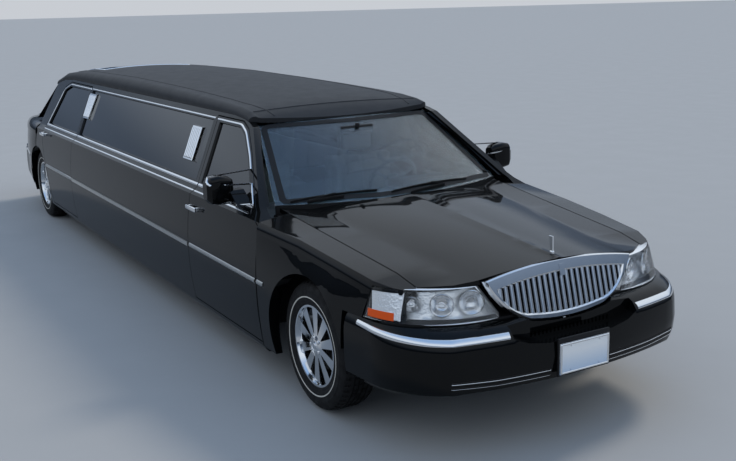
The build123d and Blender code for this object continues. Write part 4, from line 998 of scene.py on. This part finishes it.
def swell(cushion):
    """Swells a cushion by cloth simulation and keeps the result in its mesh."""
    remesh = cushion.modifiers.new("even", "REMESH")
    remesh.mode = "VOXEL"
    remesh.voxel_size = VOXEL
    remesh.use_smooth_shade = True
    graph = bpy.context.evaluated_depsgraph_get()
    even = bpy.data.meshes.new_from_object(cushion.evaluated_get(graph))
    cushion.modifiers.clear()
    cushion.data = even
    rest = [v.co.copy() for v in even.vertices]
    cloth = cushion.modifiers.new("cover", "CLOTH")
    cloth.settings.use_pressure = True
    cloth.settings.uniform_pressure_force = PRESSURE
    cloth.settings.effector_weights.gravity = 0
    cloth.settings.quality = 4
    cloth.point_cache.frame_start = 1
    cloth.point_cache.frame_end = FRAMES
    for frame_number in range(1, FRAMES + 1):
        bpy.context.scene.frame_set(frame_number)
    graph = bpy.context.evaluated_depsgraph_get()
    blown = bpy.data.meshes.new_from_object(cushion.evaluated_get(graph))
    for vert, start in zip(blown.vertices, rest):
        move = vert.co - start
        if move.length > MOST_TRAVEL:
            vert.co = start + move * (MOST_TRAVEL / move.length)
    cushion.modifiers.clear()
    cushion.data = blown
    bpy.context.scene.frame_set(1)


def sew(cushion, across, lines):
    """Presses sewn channels into a cushion, across the axis numbered across, at the given places."""
    for vert in cushion.data.vertices:
        near = min(abs(vert.co[across] - line) for line in lines)
        if near < CHANNEL_WIDTH:
            vert.co -= vert.normal * CHANNEL_DEPTH * (1 - (near / CHANNEL_WIDTH) ** 2)


def make_cushion(name, low, high, across, count):
    """Leather cushion in a box, with channels that divide it evenly."""
    inset = Vector((MOST_TRAVEL, MOST_TRAVEL, MOST_TRAVEL)) * 0.8
    cushion = piece(name, blocks((Vector(low) + inset, Vector(high) - inset, 0.03, 3)), leather)
    swell(cushion)
    if count > 1:
        lines = [low[across] + (high[across] - low[across]) * (i + 1) / count for i in range(count - 1)]
        sew(cushion, across, lines)
    cushion.data.materials.clear()
    cushion.data.materials.append(leather)
    cushion.data.shade_smooth()
    surface = cushion.modifiers.new("smooth surface", "SUBSURF")
    surface.levels = 1
    surface.render_levels = 1
    return cushion


# %% Seats, bench and lounge
SEAT_Z = 0.42
FRONT_SEAT = ahead(-1180)
BENCH = behind(920)
CUSHIONS = [
    # name, low corner, high corner, axis across the channels, how many panels between them
    ("seat_cushion", (FRONT_SEAT - 0.56, 0.13, SEAT_Z), (FRONT_SEAT, 0.69, SEAT_Z + 0.19), 1, 4),
    ("seat_back", (FRONT_SEAT - 0.70, 0.13, SEAT_Z + 0.10), (FRONT_SEAT - 0.545, 0.69, 1.06), 1, 4),
    ("seat_headrest", (FRONT_SEAT - 0.69, 0.275, 1.05), (FRONT_SEAT - 0.59, 0.545, 1.23), 1, 1),
    ("bench_cushion", (BENCH - 0.555, -0.68, SEAT_Z), (BENCH, 0.68, SEAT_Z + 0.19), 1, 6),
    ("bench_back", (BENCH - 0.70, -0.68, SEAT_Z + 0.10), (BENCH - 0.545, 0.68, 1.01), 1, 6),
    ("bench_headrest", (BENCH - 0.69, -0.135, 1.0), (BENCH - 0.59, 0.135, 1.18), 1, 1),
    ("lounge_cushion", (behind(1460), 0.33, SEAT_Z), (ahead(-2300), 0.70, SEAT_Z + 0.17), 0, 8),
    ("lounge_back", (behind(1460), 0.69, SEAT_Z + 0.05), (ahead(-2300), 0.81, 0.96), 0, 8),
]
made_cushions = {}
for name, low, high, across, count in CUSHIONS:
    made_cushions[name] = make_cushion(name, low, high, across, count)
for name in ("seat_cushion", "seat_back", "seat_headrest"):
    mirrored(made_cushions[name], name + "_right")
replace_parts(made_cushions["seat_cushion"], "front_seats")
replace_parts(made_cushions["bench_cushion"], "rear_bench")
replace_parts(made_cushions["lounge_cushion"], "lounge_seat")
FLOOR_TOP = 0.3673
TUNNEL = 0.104
PLINTH_TOP = SEAT_Z + 0.03
PLINTHS = [
    ("seat_plinth_left", (FRONT_SEAT - 0.52, 0.19, FLOOR_TOP), (FRONT_SEAT - 0.06, 0.63, PLINTH_TOP)),
    ("seat_plinth_right", (FRONT_SEAT - 0.52, -0.63, FLOOR_TOP), (FRONT_SEAT - 0.06, -0.19, PLINTH_TOP)),
    ("bench_plinth_left", (BENCH - 0.52, TUNNEL, FLOOR_TOP), (BENCH - 0.06, 0.62, PLINTH_TOP)),
    ("bench_plinth_right", (BENCH - 0.52, -0.62, FLOOR_TOP), (BENCH - 0.06, -TUNNEL, PLINTH_TOP)),
    ("lounge_plinth", (behind(1520), 0.39, FLOOR_TOP), (ahead(-2360), 0.79, PLINTH_TOP)),
]
for name, low, high in PLINTHS:
    piece(name, blocks((low, high, 0.008)), grey_trim)
POST = [(0, 0), (0, 0.006), (0.06, 0.006), (0.06, 0)]
for y in (0.34, 0.48, -0.34, -0.48):
    post = turned(POST, (FRONT_SEAT - 0.64, y, 1.02), (0, 0, 1), 12)
    piece("headrest_post_%d" % round(y * 100 + 100), post, chrome)
print("cushions", len(made_cushions), "faces", sum(len(c.data.polygons) for c in made_cushions.values()))

# %% [markdown]
# ## Cabin
#
# What shows through the glass and the open doors: the dashboard's binnacle and vents, the mirror on the
# windscreen, padded door cards with armrests, carpet, and glasses on the bar.

# %% Dashboard
piece("dashboard_binnacle", blocks(
    ((ahead(-1000), 0.17, 0.925), (ahead(-800), 0.57, 0.995), 0.028, 4),
    ((ahead(-1035), -0.15, 0.56), (ahead(-955), 0.15, 0.925), 0.02, 3)), black_plastic)
DIAL = [(0.0, 0.040), (0.006, 0.040), (0.007, 0.037), (0.003, 0.035), (0.003, 0.004), (0.008, 0.003),
        (0.008, 0)]
for i, y in enumerate((0.27, 0.37, 0.47)):
    piece("dial_%d" % i, turned(DIAL, (ahead(-999), y, 0.955), BACKWARD, 40), chrome)
for i, y in enumerate((-0.68, -0.22, 0.22, 0.68)):
    vent = []
    for slat in range(5):
        z = 0.80 + slat * 0.014
        vent.append(((ahead(-1016), y - 0.05, z), (ahead(-1006), y + 0.05, z + 0.006), 0.002))
    piece("dashboard_vent_%d" % i, blocks(*vent), black_plastic)
piece("cabin_mirror", blocks(
    ((ahead(-1090), -0.12, 1.285), (ahead(-1062), 0.12, 1.345), 0.012, 3),
    ((ahead(-1075), -0.012, 1.33), (ahead(-1052), 0.012, 1.36), 0.004)), black_plastic)

# %% Door cards
CARD_LOW, CARD_HIGH = 0.32, 0.90
# Each card: body stem, front and rear edges
CARDS = [("door_front", ahead(-560), ahead(-1570)), ("door_rear", behind(1345), behind(500))]
for body, x_front, x_rear in CARDS:
    card = blocks(((x_rear, 0.842, CARD_LOW), (x_front, 0.862, CARD_HIGH), 0.008, 3),
                  ((x_rear + 0.15, 0.800, 0.64), (x_front - 0.20, 0.850, 0.70), 0.016, 3))
    mirrored(piece(body + "_card_left", card, grey_trim, body + "_left"))
    pull = blocks(((x_front - 0.33, 0.832, 0.77), (x_front - 0.22, 0.846, 0.79), 0.005))
    mirrored(piece(body + "_inner_handle_left", pull, chrome, body + "_left"))

# %% Carpet
CARPET_LIFT, PILE, RIPPLE = 0.009, 0.006, 0.0012
x_low, x_high = behind(440), ahead(-660)
for name, y_low, y_high in (("left", 0.105, 0.80), ("right", -0.80, -0.105)):
    mesh = bmesh.new()
    bmesh.ops.create_grid(mesh, x_segments=120, y_segments=16, size=1)
    for vert in mesh.verts:
        ripple = RIPPLE * math.sin(31 * vert.co.x) * math.cos(9 * vert.co.y)
        vert.co = Vector(((x_low + x_high) / 2 + vert.co.x * (x_high - x_low) / 2,
                          (y_low + y_high) / 2 + vert.co.y * (y_high - y_low) / 2,
                          FLOOR_TOP + CARPET_LIFT + ripple))
    mat = thicken(piece("carpet_" + name, mesh, carpet), PILE)

# %% Glasses on the bar
low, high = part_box("bar_cabinet")
bar_top = high.z + 0.022
piece("bar_top", blocks(((low.x - 0.008, low.y + 0.002, high.z),
                         (high.x + 0.008, high.y + 0.012, bar_top), 0.006)), black_plastic)
GLASS = [(0.0, 0.0), (0.0, 0.028), (0.002, 0.029), (0.004, 0.006), (0.07, 0.004), (0.085, 0.018),
         (0.12, 0.030), (0.165, 0.027), (0.165, 0.0255), (0.12, 0.0285), (0.087, 0.0165), (0.075, 0.0)]
for i in range(6):
    spot = (low.x + 0.35 + i * 0.16, -0.66 + 0.05 * (i % 2), bar_top)
    piece("wine_glass_%d" % i, turned(GLASS, spot, (0, 0, 1), 24), lens_glass, slot="clear_glass")

# %% [markdown]
# ## Under the car
#
# Coil springs are one turned circle that climbs as it turns: a spin with a step upwards.

# %% Springs and dampers
COIL_TURNS, COIL_STEPS = 6, 20
DAMPER = [(0, 0), (0, 0.024), (0.2, 0.024), (0.2, 0.012), (0.30, 0.012), (0.30, 0)]


def coil(foot, radius, wire, height):
    """Mesh of a coil spring standing on a foot."""
    mesh = bmesh.new()
    start = Matrix.Translation(Vector(foot) + Vector((radius, 0, wire)))
    upright_ring = start @ Matrix.Rotation(math.pi / 2, 4, "X")
    ring = bmesh.ops.create_circle(mesh, segments=10, radius=wire, matrix=upright_ring)
    steps = COIL_TURNS * COIL_STEPS
    edges = list({e for v in ring["verts"] for e in v.link_edges})
    bmesh.ops.spin(mesh, geom=ring["verts"] + edges, cent=foot, axis=(0, 0, 1), steps=steps,
                   dvec=(0, 0, (height - 2 * wire) / steps), angle=2 * math.pi * COIL_TURNS)
    bmesh.ops.holes_fill(mesh, edges=[e for e in mesh.edges if e.is_boundary])
    return mesh


for side, sense in (("left", 1), ("right", -1)):
    piece("front_spring_" + side, coil((ahead(0), sense * 0.47, 0.215), 0.055, 0.007, 0.26), frame_paint)
    damper = turned(DAMPER, (behind(95), sense * 0.40, 0.30), (-0.1, 0, 1), 20)
    piece("rear_damper_" + side, damper, frame_paint)

# %% [markdown]
# ## Floor and light
#
# A plain pale floor that runs out of the picture, so no horizon shows. Black paint has hardly a colour of
# its own: what shows its shape is what it mirrors. So the sky of this studio is a soft ramp, darker at eye
# level and bright overhead, and one broad sun from the far side gives the floor a shadow.

# %% Build the stage
FLOOR_HALF = 400


def make_floor():
    """Pale floor that only keeps the shadow."""
    material, shader = new_material("studio_floor", Base_Color=colour("#9fa2a4"), Roughness=0.9)
    uneven(material, shader, "Roughness", 0.8, 1.0, 400)
    mesh = bmesh.new()
    bmesh.ops.create_grid(mesh, x_segments=1, y_segments=1, size=FLOOR_HALF)
    data = bpy.data.meshes.new("floor")
    mesh.to_mesh(data)
    mesh.free()
    data.materials.append(material)
    floor = bpy.data.objects.new("floor", data)
    bpy.context.scene.collection.objects.link(floor)


def make_sun(power, spread, way):
    """Broad sun that shines along a direction, kept out of the mirrors so that it makes no hard spot."""
    data = bpy.data.lights.new("key_sun", "SUN")
    data.energy = power
    data.angle = math.radians(spread)
    data.color = colour("#fff0dc")[:3]
    sun = bpy.data.objects.new("key_sun", data)
    sun.rotation_mode = "QUATERNION"
    sun.rotation_quaternion = Vector(way).to_track_quat("-Z", "Y")
    sun.visible_glossy = False
    sun.visible_transmission = False
    bpy.context.scene.collection.objects.link(sun)


def make_sky(stops, strength):
    """World light as a ramp of colours from straight down (0) through eye level (0.5) to overhead (1).

    The camera itself sees a plain backdrop."""
    world = bpy.data.worlds.new("studio")
    bpy.context.scene.world = world
    world.use_nodes = True
    coordinates = add_node(world, "ShaderNodeTexCoord")
    parts = add_node(world, "ShaderNodeSeparateXYZ", {}, {"Vector": coordinates.outputs["Generated"]})
    share = add_node(world, "ShaderNodeMapRange", {"From Min": -1.0, "From Max": 1.0},
                     {"Value": parts.outputs["Z"]})
    ramp = add_node(world, "ShaderNodeValToRGB", {}, {"Fac": share.outputs["Result"]})
    ramp.color_ramp.interpolation = "EASE"
    first, last = ramp.color_ramp.elements
    first.position, first.color = stops[0][0], colour(stops[0][1])
    last.position, last.color = stops[-1][0], colour(stops[-1][1])
    for position, code in stops[1:-1]:
        ramp.color_ramp.elements.new(position).color = colour(code)
    backdrop = world.node_tree.nodes["Background"]
    seen = add_node(world, "ShaderNodeLightPath")
    behind_car = add_node(world, "ShaderNodeMixRGB", {"Color2": colour("#c4c8ce")},
                          {"Fac": seen.outputs["Is Camera Ray"], "Color1": ramp.outputs["Color"]})
    link(world, behind_car.outputs["Color"], backdrop.inputs["Color"])
    backdrop.inputs["Strength"].default_value = strength


make_floor()
make_sun(1.6, 14, (0.25, -0.75, -0.85))
make_sky([(0.47, "#262c34"), (0.54, "#475364"), (0.58, "#8293ab"), (0.62, "#ccd9ea"), (0.8, "#e4edf8"),
          (1.0, "#93b4e0")], 1.05)
bpy.context.scene.view_settings.view_transform = "Standard"
